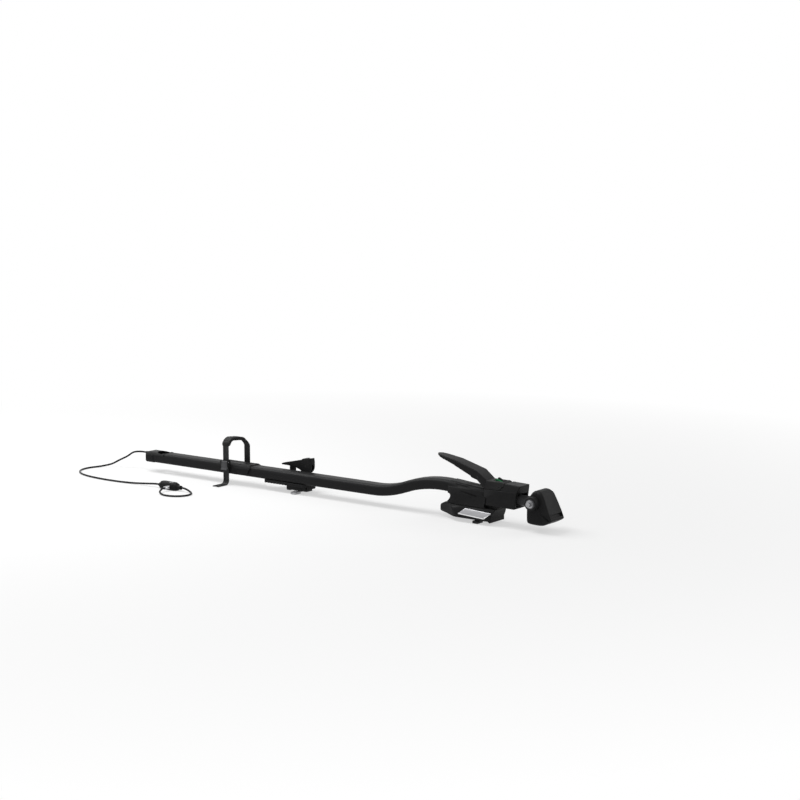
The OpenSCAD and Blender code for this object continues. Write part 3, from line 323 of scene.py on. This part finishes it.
def reach(face, edge):
    """How far a face reaches from the line of one of its edges."""
    a, b = edge.verts[0].co, edge.verts[1].co
    way = (b - a).normalized()
    return max(((v.co - a) - way * (v.co - a).dot(way)).length for v in face.verts)


def welded(mesh):
    """A mesh to work on, with its doubled points joined and its flat faces merged."""
    work = bmesh.new()
    work.from_mesh(mesh)
    bmesh.ops.remove_doubles(work, verts=work.verts, dist=WELD)
    bmesh.ops.dissolve_limit(work, angle_limit=FLAT, verts=work.verts, edges=work.edges)
    return work


def trim(work, point, normal):
    """Cuts a closed mesh by a plane and keeps the part behind it."""
    bmesh.ops.bisect_plane(work, geom=work.verts[:] + work.edges[:] + work.faces[:], plane_co=point,
                           plane_no=normal, clear_outer=True)
    bmesh.ops.contextual_create(work, geom=[e for e in work.edges if e.is_boundary])
    bmesh.ops.recalc_face_normals(work, faces=work.faces)


def close_gaps(mesh):
    """Closes the small gaps that a cut leaves at a corner."""
    work = bmesh.new()
    work.from_mesh(mesh)
    bmesh.ops.remove_doubles(work, verts=work.verts, dist=WELD)
    bmesh.ops.holes_fill(work, edges=[e for e in work.edges if e.is_boundary], sides=8)
    work.to_mesh(mesh)
    work.free()


def even_shading(obj, degrees):
    """Smooth shading that stays sharp past an angle, with normals that follow the larger faces."""
    for face in obj.data.polygons:
        face.use_smooth = True
    obj.data.set_sharp_from_angle(angle=math.radians(degrees))
    even = obj.modifiers.new("even", "WEIGHTED_NORMAL")
    even.keep_sharp = True


def is_rounded(edge, radius, middle, seam):
    """True for an edge that is long and sharp enough, and not where two pieces meet."""
    if len(edge.link_faces) != 2 or edge.calc_face_angle() < ROUNDED_FROM:
        return False
    if middle is not None and all(abs(v.co.y - middle) < ON_MIDDLE for v in edge.verts):
        return False
    if seam is not None and all(abs(v.co.x - seam) < ON_SEAM for v in edge.verts):
        return False
    return edge.calc_length() >= 1.6 * radius and min(reach(f, edge) for f in edge.link_faces) >= 2.0 * radius


def softened(node, width, middle=None, seam=None, trims=(), cutters=()):
    """A copy of a solid with edges rounded by width, which stands for the solid."""
    mesh = nodes[node].data.copy()
    mesh.name = node + "_moulded"
    work = welded(mesh)
    for point, normal in trims:
        trim(work, point, normal)
    radius = width * MM
    chosen = [e for e in work.edges if is_rounded(e, radius, middle, seam)] if width > 0 else []
    if chosen:
        bmesh.ops.bevel(work, geom=chosen, offset=radius, offset_type="OFFSET", segments=ROUND_STEPS,
                        profile=0.5, affect="EDGES", clamp_overlap=False, miter_outer="ARC")
    bmesh.ops.remove_doubles(work, verts=work.verts, dist=WELD)
    work.to_mesh(mesh)
    work.free()
    obj = new_object(node + "_moulded", mesh)
    for cutter in cutters:
        cut_away(obj, cutter)
    close_gaps(obj.data)
    even_shading(obj, 38)
    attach(obj, body_of(nodes[node])[0])
    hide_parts(node)
    return obj


for node, width in (
    ("base_foot", 2.5), ("wheel_tray", 1.0), ("rear_foot", 1.2), ("rear_cam_lever", 1.0),
    ("buckle_body", 1.0), ("buckle_lever", 1.0),
):
    softened(node, width)
lock = softened("lock_body", 2.0)
softened("release_trigger", 1.2)

# The lever's tip is cut round in plan
TIP_PLAN = [(-171.0, 4.0), (-167.5, 9.6), (-157.0, 16.2)]
TIP = []
for side in (-1, 1):
    for (x0, y0), (x1, y1) in zip(TIP_PLAN, TIP_PLAN[1:]):
        TIP.append((at(x0, side * y0, 0), Vector((y0 - y1, side * (x1 - x0), 0.0)).normalized()))
softened("clamp_lever", 2.0, trims=TIP)

# The case and the housing meet at a jagged parting line
SEAM_X = at(-9, 0, 0).x
SEAM_LINE = [(-16.0, 74.5), (-13.2, 58.4), (-5.2, 54.0), (-5.2, 49.2), (-7.0, 35.5)]
SEAM_W, SEAM_FROM, SEAM_TO = 3.0, 26.8, 45.0


def seam_cut():
    """Bars that cut the parting line on both sides."""
    return [side_groove("parting", SEAM_LINE, SEAM_W, s * SEAM_FROM, s * SEAM_TO) for s in (-1, 1)]


# The rail and its cap are open above the place where the lock is stowed
WINDOW_SIDE = [
    (-1163, 13), (-1164.5, 17), (-1168, 19.6), (-1173, 20.5), (-1184, 19.5), (-1194, 14), (-1201, 7),
]
WINDOW = [(x, -y) for x, y in WINDOW_SIDE] + [(-1203, 0)] + WINDOW_SIDE[::-1]
WINDOW_LOW, WINDOW_HIGH = 37.0, 80.0


def window_cut():
    """A bar up through the top of the rail, with the window's outline."""
    verts = [(x, y, z) for z in (WINDOW_LOW, WINDOW_HIGH) for x, y in WINDOW]
    return [cutter_object("window", verts, tube_faces(2, len(WINDOW)))]


softened("rail", 0.0, cutters=window_cut())
softened("rail_end_cap", 1.5, cutters=window_cut())
softened("rail_housing", 3.0, seam=SEAM_X, cutters=seam_cut())

# The case's top slopes down forward, and its front has a mouth round the neck
CASE_TOP = (at(46.8, 0, 96.2), Vector((1.9, 0.0, 51.2)).normalized())
for node in ("case_left", "case_right"):
    mouth = rounded_slot("mouth", 50.0, 34.0, 9.0, (86.0, 0, 55.5), 0.0, 7.0)
    softened(node, 2.5, middle=0.0, seam=SEAM_X, trims=[CASE_TOP], cutters=seam_cut() + [mouth])


# Lock cable: the same points as the solids' routes, in the source's millimetres
CABLE = [
    (-1257, 0, 37), (-1272, 0, 37), (-1288, -1, 36), (-1308, -4, 32), (-1330, -10, 18),
    (-1352, -20, 6), (-1372, -33, -6), (-1388, -49, -11), (-1399, -68, -13), (-1405, -90, -13),
    (-1404, -113, -13), (-1396, -135, -13), (-1382, -153, -13), (-1363, -168, -13), (-1340, -179, -13),
    (-1313, -187, -13), (-1284, -192, -13), (-1253, -195, -13), (-1221, -196, -13), (-1189, -195, -13),
    (-1157, -192, -13), (-1125, -188, -12.5), (-1095, -184, -11), (-1068, -181, -9), (-1046, -180, -7),
    (-1030, -180, -6), (-1018, -180, -6),
]
LOOP = [
    (-934, -180, -6), (-924, -180, -6), (-911, -181, -8), (-896, -185, -11), (-882, -193, -13),
    (-873, -205, -13), (-870, -220, -13), (-874, -235, -13), (-884, -247, -13), (-898, -255, -13),
    (-914, -258, -13), (-930, -256, -13), (-945, -250, -12), (-957, -241, -10), (-964, -230, -8),
    (-968, -220, -6), (-968, -212, -6),
]
CABLE_D = 5.5


def cable_curve(name, points):
    """A round cable along a route."""
    curve = bpy.data.curves.new(name, "CURVE")
    curve.dimensions = "3D"
    curve.bevel_depth = CABLE_D / 2 * MM
    curve.bevel_resolution = 4
    curve.resolution_u = 6
    curve.use_fill_caps = True
    spline = curve.splines.new("BEZIER")
    spline.bezier_points.add(len(points) - 1)
    for i, p in enumerate(points):
        before = Vector(points[max(i - 1, 0)])
        after = Vector(points[min(i + 1, len(points) - 1)])
        here = Vector(p)
        way = (after - before).normalized()
        b = spline.bezier_points[i]
        b.handle_left_type = b.handle_right_type = "FREE"
        b.co = at(*here)
        b.handle_left = at(*(here - way * (here - before).length / 3))
        b.handle_right = at(*(here + way * (after - here).length / 3))
    curve.materials.append(M["cable"])
    return new_object(name, curve)


cable = cable_curve("lock_cable_run", CABLE)
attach(cable, "carrier")
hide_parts("lock_cable")
loop = cable_curve("lock_loop_run", LOOP)
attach(loop, "carrier")
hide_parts("lock_loop")


# Strap: one flexible band with ratchet teeth on its outer face and a notched tail
def mesh_piece(name, verts, faces, key, body):
    """A new mesh in the source's millimetres, with its material, riding on a body."""
    mesh = bpy.data.meshes.new(name)
    mesh.from_pydata([at(*v) for v in verts], [], faces)
    mesh.validate()
    turn_outwards(mesh)
    for face in mesh.polygons:
        face.use_smooth = True
    obj = new_object(name, mesh)
    mesh.materials.append(M[key])
    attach(obj, body)
    return obj


def sharp_by_angle(obj, degrees):
    """Smooth shading that stays sharp where faces meet at more than an angle."""
    obj.data.set_sharp_from_angle(angle=math.radians(degrees))


STRAP_X, STRAP_DRIFT, STRAP_W, STRAP_T = -901.0, 28.0, 21.0, 3.0
NEAR_Y, FAR_Y, ARCH_R, ARCH_Z = -30.6, 28.6, 22.0, 95.0
TAIL_R, TAIL_Z, TAIL_L, ANCHOR_END = 12.0, -14.0, 34.0, 27.8
TAIL_Y = NEAR_Y - TAIL_R
TOP_L = FAR_Y - NEAR_Y - 2 * ARCH_R
DRIFT_L = TOP_L + ARCH_R * math.pi / 2
# The strap's stretches from its tail to its anchor: ground, bend, rise, arch, top, arch, fall
RUNS = [TAIL_L, TAIL_R * math.pi / 2, ARCH_Z - TAIL_Z - TAIL_R, ARCH_R * math.pi / 2, TOP_L,
        ARCH_R * math.pi / 2, ARCH_Z - ANCHOR_END]
TOOTHED, TOOTH_PITCH, TOOTH_DEEP, PLAIN_STEP = 134.0, 3.0, 0.85, 2.5
NOTCH_DEEP, NOTCH_L = 8.0, 14.0


def strap_spot(s):
    """Place on the strap's middle and the way its outer face looks, s along it from the tail."""
    k = 0
    while k < len(RUNS) - 1 and s > RUNS[k]:
        s -= RUNS[k]
        k += 1
    x = STRAP_X
    if k == 0:
        return (x, TAIL_Y - TAIL_L + s, TAIL_Z), 90.0
    if k == 1:
        a = -90 + math.degrees(s / TAIL_R)
        r = math.radians(a)
        return (x, TAIL_Y + TAIL_R * math.cos(r), TAIL_Z + TAIL_R + TAIL_R * math.sin(r)), a + 180
    if k == 2:
        return (x, NEAR_Y, TAIL_Z + TAIL_R + s), 180.0
    if k == 3:
        a = 180 - math.degrees(s / ARCH_R)
        r = math.radians(a)
        return (x, NEAR_Y + ARCH_R + ARCH_R * math.cos(r), ARCH_Z + ARCH_R * math.sin(r)), a
    if k == 4:
        return (x + STRAP_DRIFT * s / DRIFT_L, NEAR_Y + ARCH_R + s, ARCH_Z + ARCH_R), 90.0
    if k == 5:
        a = 90 - math.degrees(s / ARCH_R)
        r = math.radians(a)
        x += STRAP_DRIFT * (TOP_L + s) / DRIFT_L
        return (x, FAR_Y - ARCH_R + ARCH_R * math.cos(r), ARCH_Z + ARCH_R * math.sin(r)), a
    return (x + STRAP_DRIFT, FAR_Y, ARCH_Z - s), 0.0


def build_strap():
    """The band: each stop is a place along it and how deep its outer face is sunk there."""
    total = sum(RUNS)
    stops = [(0.0, 0.15), (4.0, 0.15)]
    s = 5.0
    while s < TOOTHED:
        stops += [(s, TOOTH_DEEP), (s + TOOTH_PITCH * 0.8, 0.1), (s + TOOTH_PITCH * 0.82, 0.1)]
        s += TOOTH_PITCH
    s = TOOTHED + 2
    while s < total:
        stops.append((s, 0.12))
        s += PLAIN_STEP
    stops.append((total, 0.12))
    w, t = STRAP_W / 2, STRAP_T / 2
    verts = []
    for s, dip in stops:
        outline = [
            (-w, t - 0.6), (-w + 0.6, t), (-w + 2.9, t), (-w + 3.3, t - dip), (0.0, t - dip),
            (w - 3.3, t - dip), (w - 2.9, t), (w - 0.6, t), (w, t - 0.6), (w, -t + 0.6), (w - 0.6, -t),
            (0.0, -t), (-w + 0.6, -t), (-w, -t + 0.6),
        ]
        for u, v in outline:
            # The tail ends in a notch
            notch = NOTCH_DEEP * (1 - abs(u) / w) * max(0.0, 1 - s / NOTCH_L)
            (x, y, z), a = strap_spot(s + notch)
            r = math.radians(a)
            verts.append((x + u, y + v * math.cos(r), z + v * math.sin(r)))
    faces = tube_faces(len(stops), len(outline))
    strap = mesh_piece("wheel_strap_band", verts, faces, "strap", "wheel_holder")
    sharp_by_angle(strap, 32)
    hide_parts("wheel_strap")


build_strap()
PAD_START, PAD_END, PAD_TAPER, PAD_STEP = 151.5, 215.0, 7.0, 1.27
RIB_PITCH, RIB_DEEP, PAD_PROUD = 3.81, 0.45, 2.4


def build_rim_pad():
    """Sleeve on the strap where it lies on the rim: thick in the middle, ribbed outside, thin at its ends."""
    stops = []
    s = PAD_START
    while s < PAD_END + 0.01:
        stops.append(s)
        s += PAD_STEP
    verts = []
    for s in stops:
        edge = min(s - PAD_START, PAD_END - s, PAD_TAPER) / PAD_TAPER
        full = math.sin(edge * math.pi / 2) ** 0.7 if edge > 0 else 0.0
        rib = RIB_DEEP if int((s - PAD_START) / RIB_PITCH) % 2 and edge >= 1 else 0.0
        out = 2.1 + 1.3 * full - rib
        low = -(2.1 + 4.6 * full)
        w = STRAP_W / 2 + PAD_PROUD - 1.0 * (1 - full)
        outline = [
            (-w, out - 1.6), (-w + 0.5, out - 0.5), (-w + 1.6, out), (0.0, out), (w - 1.6, out),
            (w - 0.5, out - 0.5), (w, out - 1.6), (w, low + 2.2), (w - 0.7, low + 0.7), (w - 2.2, low),
            (0.0, low), (-w + 2.2, low), (-w + 0.7, low + 0.7), (-w, low + 2.2),
        ]
        (x, y, z), a = strap_spot(s)
        r = math.radians(a)
        for u, v in outline:
            verts.append((x + u, y + v * math.cos(r), z + v * math.sin(r)))
    faces = tube_faces(len(stops), len(outline))
    pad = mesh_piece("rim_pad_sleeve", verts, faces, "pad", "wheel_holder")
    sharp_by_angle(pad, 40)
    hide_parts("rim_pad")


build_rim_pad()


# Fork head: two shells cut from one rounded form, and a boss on each side round the mandrels
def chaikin(points, rounds, keep):
    """A closed outline with its corners cut again and again."""
    for _ in range(rounds):
        cut = []
        for i, a in enumerate(points):
            b = points[(i + 1) % len(points)]
            cut.append((a[0] + (b[0] - a[0]) * keep, a[1] + (b[1] - a[1]) * keep))
            cut.append((b[0] - (b[0] - a[0]) * keep, b[1] - (b[1] - a[1]) * keep))
        points = cut
    return points


def inset(points, depth):
    """A closed outline, given anticlockwise, moved inwards."""
    out = []
    n = len(points)
    for i in range(n):
        ax, az = points[i - 1]
        bx, bz = points[(i + 1) % n]
        length = math.hypot(bx - ax, bz - az)
        out.append((points[i][0] - (bz - az) / length * depth, points[i][1] + (bx - ax) / length * depth))
    return out


HEAD_SIDE = [
    (124, 6), (133, 3.6), (166, 2.8), (186, 12.8), (192.6, 17.2), (191.6, 22), (173.4, 63), (164.5, 81),
    (157, 87.6), (148, 90.2), (137, 88.6), (128.5, 77), (123, 66), (121, 52), (121, 30), (121.2, 12),
]
HEAD_W, CHEEK_R = 35.0, 7.0
SHOULDER_Z, CROWN_Z, SOLE_Z = 40, 82, 8
BOSS_X, BOSS_Z, BOSS_SIDES = 141, 59, 48
# The boss's section: along Y and out from its axis, with the bush's seat in its end
BOSS = [
    (20.0, 17.0), (46.6, 17.0), (47.5, 16.6), (48.0, 15.8), (48.0, 12.9), (47.6, 12.5), (34.0, 12.5),
    (20.0, 12.5),
]


def head_form_mesh():
    """The head's outer form: its side outline carried across, rounded at the cheeks and drawn in upwards."""
    outline = chaikin(HEAD_SIDE, 2, 0.22)
    n = len(outline)
    steps = []
    for a in (90, 72, 54, 36, 18, 0):
        r = math.radians(a)
        steps.append((HEAD_W - CHEEK_R + CHEEK_R * math.sin(r), CHEEK_R * (1 - math.cos(r)) * 0.9))
    rings = [(-y, d) for y, d in steps] + [(0.0, 0.0)] + [(y, d) for y, d in reversed(steps)]
    middle = (sum(q[0] for q in outline) / n, sum(q[1] for q in outline) / n)
    verts = []

    def add(points, y):
        for x, z in points:
            narrow = 1.0
            if z > SHOULDER_Z:
                narrow = 1 - 0.14 * (z - SHOULDER_Z) / (CROWN_Z - SHOULDER_Z)
            if z > CROWN_Z:
                narrow -= 0.12 * (z - CROWN_Z) / 8
            if z < SOLE_Z:
                narrow = 1 - 0.08 * (SOLE_Z - z) / SOLE_Z
            verts.append((x, y * narrow, z))

    def shrunk(points, f):
        return [(middle[0] + (x - middle[0]) * f, middle[1] + (z - middle[1]) * f) for x, z in points]

    first = inset(outline, rings[0][1])
    add(shrunk(first, 0.4), rings[0][0])
    add(shrunk(first, 0.75), rings[0][0])
    for y, d in rings:
        add(inset(outline, d), y)
    last = inset(outline, rings[-1][1])
    add(shrunk(last, 0.75), rings[-1][0])
    add(shrunk(last, 0.4), rings[-1][0])
    return verts, tube_faces(len(rings) + 4, n)


def keep_side(obj, point, normal):
    """Keeps the part of a piece that is behind a plane."""
    work = bmesh.new()
    work.from_mesh(obj.data)
    trim(work, point, normal)
    work.to_mesh(obj.data)
    work.free()


def build_head():
    """Body and cover on the two sides of a sloped seam, and the bosses."""
    seam_at = at(159.5, 0, 45)
    seam_way = Vector((92.0, 0.0, 27.0)).normalized()
    gap = 0.25 * MM
    verts, faces = head_form_mesh()
    body = mesh_piece("head_body_shell", verts, faces, "black", "carrier")
    keep_side(body, seam_at - seam_way * gap, seam_way)
    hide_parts("head_body")
    cover = mesh_piece("head_cover_shell", verts, faces, "black_smooth", "carrier")
    keep_side(cover, seam_at + seam_way * gap, -seam_way)
    cut_away(cover, rounded_slot("recess", 56.0, 9.0, 4.5, (188.2, 0, 28.5), -23.9, 3.0))
    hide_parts("head_cover")
    for shell in (body, cover):
        even_shading(shell, 35)
    sections = len(BOSS)
    for s, side in ((1, "left"), (-1, "right")):
        verts = []
        for y, r in BOSS:
            for k in range(BOSS_SIDES):
                a = 2 * math.pi * k / BOSS_SIDES
                verts.append((BOSS_X + r * math.cos(a), s * y, BOSS_Z + r * math.sin(a)))
        faces = []
        for i in range(sections):
            here, there = i * BOSS_SIDES, (i + 1) % sections * BOSS_SIDES
            for k in range(BOSS_SIDES):
                after = (k + 1) % BOSS_SIDES
                faces.append((here + k, here + after, there + after, there + k))
        boss = mesh_piece("head_boss_" + side, verts, faces, "black", "carrier")
        sharp_by_angle(boss, 40)
        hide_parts("head_body")


build_head()


# Lock indicator: a sloped green flag, with a black cap on its far half and a black base under both
def wedge_piece(name, key, y0, y1, outline, body):
    """A bar across, with a side outline and small chamfers on its two ends."""
    chamfer = 0.7
    n = len(outline)
    mx = sum(q[0] for q in outline) / n
    mz = sum(q[1] for q in outline) / n
    verts = []
    for y, f in ((y0, 0.9), (y0 + chamfer, 1.0), (y1 - chamfer, 1.0), (y1, 0.9)):
        for x, z in outline:
            verts.append((mx + (x - mx) * f, y, mz + (z - mz) * f))
    piece = mesh_piece(name, verts, tube_faces(4, n), key, body)
    sharp_by_angle(piece, 35)
    return piece


flag = wedge_piece("lock_indicator_flag", "green", -7.4, 1.4, [
    (10.0, 95.0), (30.0, 94.0), (30.4, 95.0), (30.0, 96.2), (12.5, 101.9), (10.8, 102.0), (10.0, 101.0),
], "draw")
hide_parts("lock_indicator")
wedge_piece("lock_indicator_cap", "black", 0.6, 7.4, [
    (11.6, 95.0), (30.0, 94.0), (30.8, 95.2), (30.4, 97.4), (15.4, 104.6), (13.4, 104.7), (12.2, 103.4),
], "draw")
wedge_piece("lock_indicator_base", "black", -11.4, 11.4, [
    (-2.4, 91.6), (32.4, 91.6), (33.0, 92.2), (33.0, 94.0), (32.4, 94.6), (-2.4, 94.6), (-3.0, 94.0),
    (-3.0, 92.2),
], "draw")


# Foot plates: brushed inserts, whose rolled lower edge and rear end carry a painted highlight in a brighter
# aluminium
PLATE_DROP, PLATE_CORNER = 1.4 * MM, 2.6 * MM
# How far below the plate's face each ring of its rolled edge lies, and how far in, both in millimetres
ROLL = [(2.2, 0.0), (1.0, 0.35), (0.3, 1.2), (0.0, 2.6)]


def build_plate(node):
    """An insert with round corners and a rolled edge, laid out from the solid's largest outer face."""
    work = welded(nodes[node].data)
    work.faces.ensure_lookup_table()
    side = 1 if node.endswith("left") else -1
    tops = [f for f in work.faces if f.normal.y * side > 0.2]
    top = max(tops, key=lambda f: f.calc_area())
    normal = top.normal.copy()
    corners = [v.co.copy() for v in top.verts]
    thick = max(normal.dot(corners[0] - v.co) for v in work.verts)
    work.free()
    lower = sorted(corners, key=lambda c: c.z)[:2]
    upper = sorted(corners, key=lambda c: c.z)[2:]
    lower.sort(key=lambda c: c.x)
    upper.sort(key=lambda c: c.x)
    way = (lower[1] - lower[0]).normalized()
    fall = normal.cross(way).normalized()
    if fall.z > 0:
        fall = -fall
    lower = [c + fall * PLATE_DROP for c in lower]
    loop = [lower[0], lower[1], upper[1], upper[0]]
    outline = []
    for i, c in enumerate(loop):
        a = (loop[i - 1] - c).normalized()
        b = (loop[(i + 1) % 4] - c).normalized()
        start, end = c + a * PLATE_CORNER, c + b * PLATE_CORNER
        for k in range(6):
            t = k / 5
            outline.append((1 - t) ** 2 * start + 2 * t * (1 - t) * c + t * t * end)
    middle = sum(outline, Vector()) / len(outline)
    rings = [(thick, 0.0)] + [(drop * MM, shrink) for drop, shrink in ROLL]
    verts = []
    for drop, shrink in rings:
        for c in outline:
            inward = middle - c
            along = way * inward.dot(way)
            across = inward - along
            move = Vector()
            if along.length > 0.02:
                move += along.normalized() * shrink * MM
            if across.length > 0.004:
                move += across.normalized() * shrink * MM
            verts.append(c + move - normal * drop)
    name = node + "_insert"
    mesh = bpy.data.meshes.new(name)
    mesh.from_pydata(verts, [], tube_faces(len(rings), len(outline)))
    turn_outwards(mesh)
    mesh.materials.append(M["plate"])
    mesh.materials.append(M["plate_painted_highlight"])
    for face in mesh.polygons:
        face.use_smooth = True
        # The rolled lower edge and rear end get the brighter aluminium, a painted highlight
        rim = face.normal.dot(fall) > 0.15 or face.normal.dot(way) < -0.3
        face.material_index = 1 if rim and face.normal.dot(normal) < 0.995 else 0
    obj = new_object(name, mesh)
    sharp_by_angle(obj, 50)
    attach(obj, "carrier")
    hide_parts(node)


build_plate("foot_plate_left")
build_plate("foot_plate_right")


# Floor, light and camera
def seen_rays(tree):
    """One for rays that the eye sees, straight or by way of a mirror or a clear piece, and else nought."""
    path = tree.nodes.new("ShaderNodeLightPath")
    found = path.outputs["Is Camera Ray"]
    for kind in ("Is Glossy Ray", "Is Transmission Ray"):
        either = tree.nodes.new("ShaderNodeMath")
        either.operation = "MAXIMUM"
        tree.links.new(found, either.inputs[0])
        tree.links.new(path.outputs[kind], either.inputs[1])
        found = either.outputs[0]
    return found


def floor_material():
    """Pale ground: seen by eye it fades to white away from the object, and it keeps the shadow near it."""
    mat = bpy.data.materials.new("pale_floor")
    mat.use_nodes = True
    tree = mat.node_tree
    tree.nodes.clear()
    out = tree.nodes.new("ShaderNodeOutputMaterial")
    matt = tree.nodes.new("ShaderNodeBsdfDiffuse")
    matt.inputs["Color"].default_value = (0.85, 0.85, 0.85, 1.0)
    white = tree.nodes.new("ShaderNodeEmission")
    white.inputs["Color"].default_value = (1.0, 1.0, 1.0, 1.0)
    white.inputs["Strength"].default_value = 1.0
    coords = tree.nodes.new("ShaderNodeTexCoord")
    spot = tree.nodes.new("ShaderNodeMapping")
    spot.inputs["Location"].default_value = (0.55, 0.0, 0.0)
    tree.links.new(coords.outputs["Object"], spot.inputs["Vector"])
    away = tree.nodes.new("ShaderNodeVectorMath")
    away.operation = "LENGTH"
    tree.links.new(spot.outputs["Vector"], away.inputs[0])
    fade = tree.nodes.new("ShaderNodeMapRange")
    fade.inputs["From Min"].default_value = 0.7
    fade.inputs["From Max"].default_value = 2.2
    fade.inputs["To Min"].default_value = 0.55
    fade.inputs["To Max"].default_value = 1.0
    tree.links.new(away.outputs["Value"], fade.inputs["Value"])
    amount = tree.nodes.new("ShaderNodeMath")
    amount.operation = "MULTIPLY"
    tree.links.new(fade.outputs["Result"], amount.inputs[0])
    tree.links.new(seen_rays(tree), amount.inputs[1])
    mix = tree.nodes.new("ShaderNodeMixShader")
    tree.links.new(amount.outputs[0], mix.inputs["Fac"])
    tree.links.new(matt.outputs["BSDF"], mix.inputs[1])
    tree.links.new(white.outputs["Emission"], mix.inputs[2])
    tree.links.new(mix.outputs["Shader"], out.inputs["Surface"])
    return mat


FLOOR_Z, FLOOR_HALF = -0.0101, 14.0
corners = [(x * FLOOR_HALF, y * FLOOR_HALF, FLOOR_Z) for x, y in ((-1, -1), (1, -1), (1, 1), (-1, 1))]
floor_mesh = bpy.data.meshes.new("floor")
floor_mesh.from_pydata(corners, [], [(0, 1, 2, 3)])
floor = new_object("floor", floor_mesh)
floor_mesh.materials.append(floor_material())

# The world lights the object faintly and is white to the eye
FILL = 0.34
world = bpy.data.worlds.new("studio")
scene.world = world
world.use_nodes = True
wt = world.node_tree
background = wt.nodes["Background"]
background.inputs["Color"].default_value = (1.0, 1.0, 1.0, 1.0)
glow = wt.nodes.new("ShaderNodeMapRange")
glow.inputs["To Min"].default_value = FILL
glow.inputs["To Max"].default_value = 1.0
wt.links.new(seen_rays(wt), glow.inputs["Value"])
wt.links.new(glow.outputs["Result"], background.inputs["Strength"])


def area_light(name, place, aim, size, power):
    """A rectangular lamp that looks at a point."""
    lamp = bpy.data.lights.new(name, "AREA")
    lamp.shape = "RECTANGLE"
    lamp.size = size[0]
    lamp.size_y = size[1]
    lamp.energy = power
    obj = new_object(name, lamp)
    obj.location = place
    obj.rotation_euler = (Vector(aim) - Vector(place)).to_track_quat("-Z", "Y").to_euler()


area_light("top_light", (-2.1, -0.5, 2.4), (-2.1, -0.5, 0.0), (3.2, 1.4), 84.0)
area_light("side_light", (1.6, -2.2, 1.5), (-0.4, 0.0, 0.05), (1.6, 1.2), 9.0)
area_light("far_light", (1.5, 2.2, 1.4), (-0.3, 0.0, 0.05), (1.6, 1.2), 13.0)

# The camera looks slightly down at the carrier, from ahead of it on its near side
AZ, EL = math.radians(37.14), math.radians(8.05)
CAMERA_AT = (2306.78, -3440.62, 887.66)
back = Vector((math.sin(AZ) * math.cos(EL), -math.cos(AZ) * math.cos(EL), math.sin(EL)))
right = Vector((math.cos(AZ), math.sin(AZ), 0.0))
up = back.cross(right)
cam_data = bpy.data.cameras.new("camera")
cam_data.sensor_fit = "HORIZONTAL"
cam_data.sensor_width = 36.0
cam_data.lens = 74.25
cam_data.clip_end = 60.0
camera = new_object("camera", cam_data)
basis = Matrix((right, up, back)).transposed().to_4x4()
basis.translation = at(*CAMERA_AT)
camera.matrix_world = basis
scene.camera = camera

scene.view_settings.view_transform = "Standard"
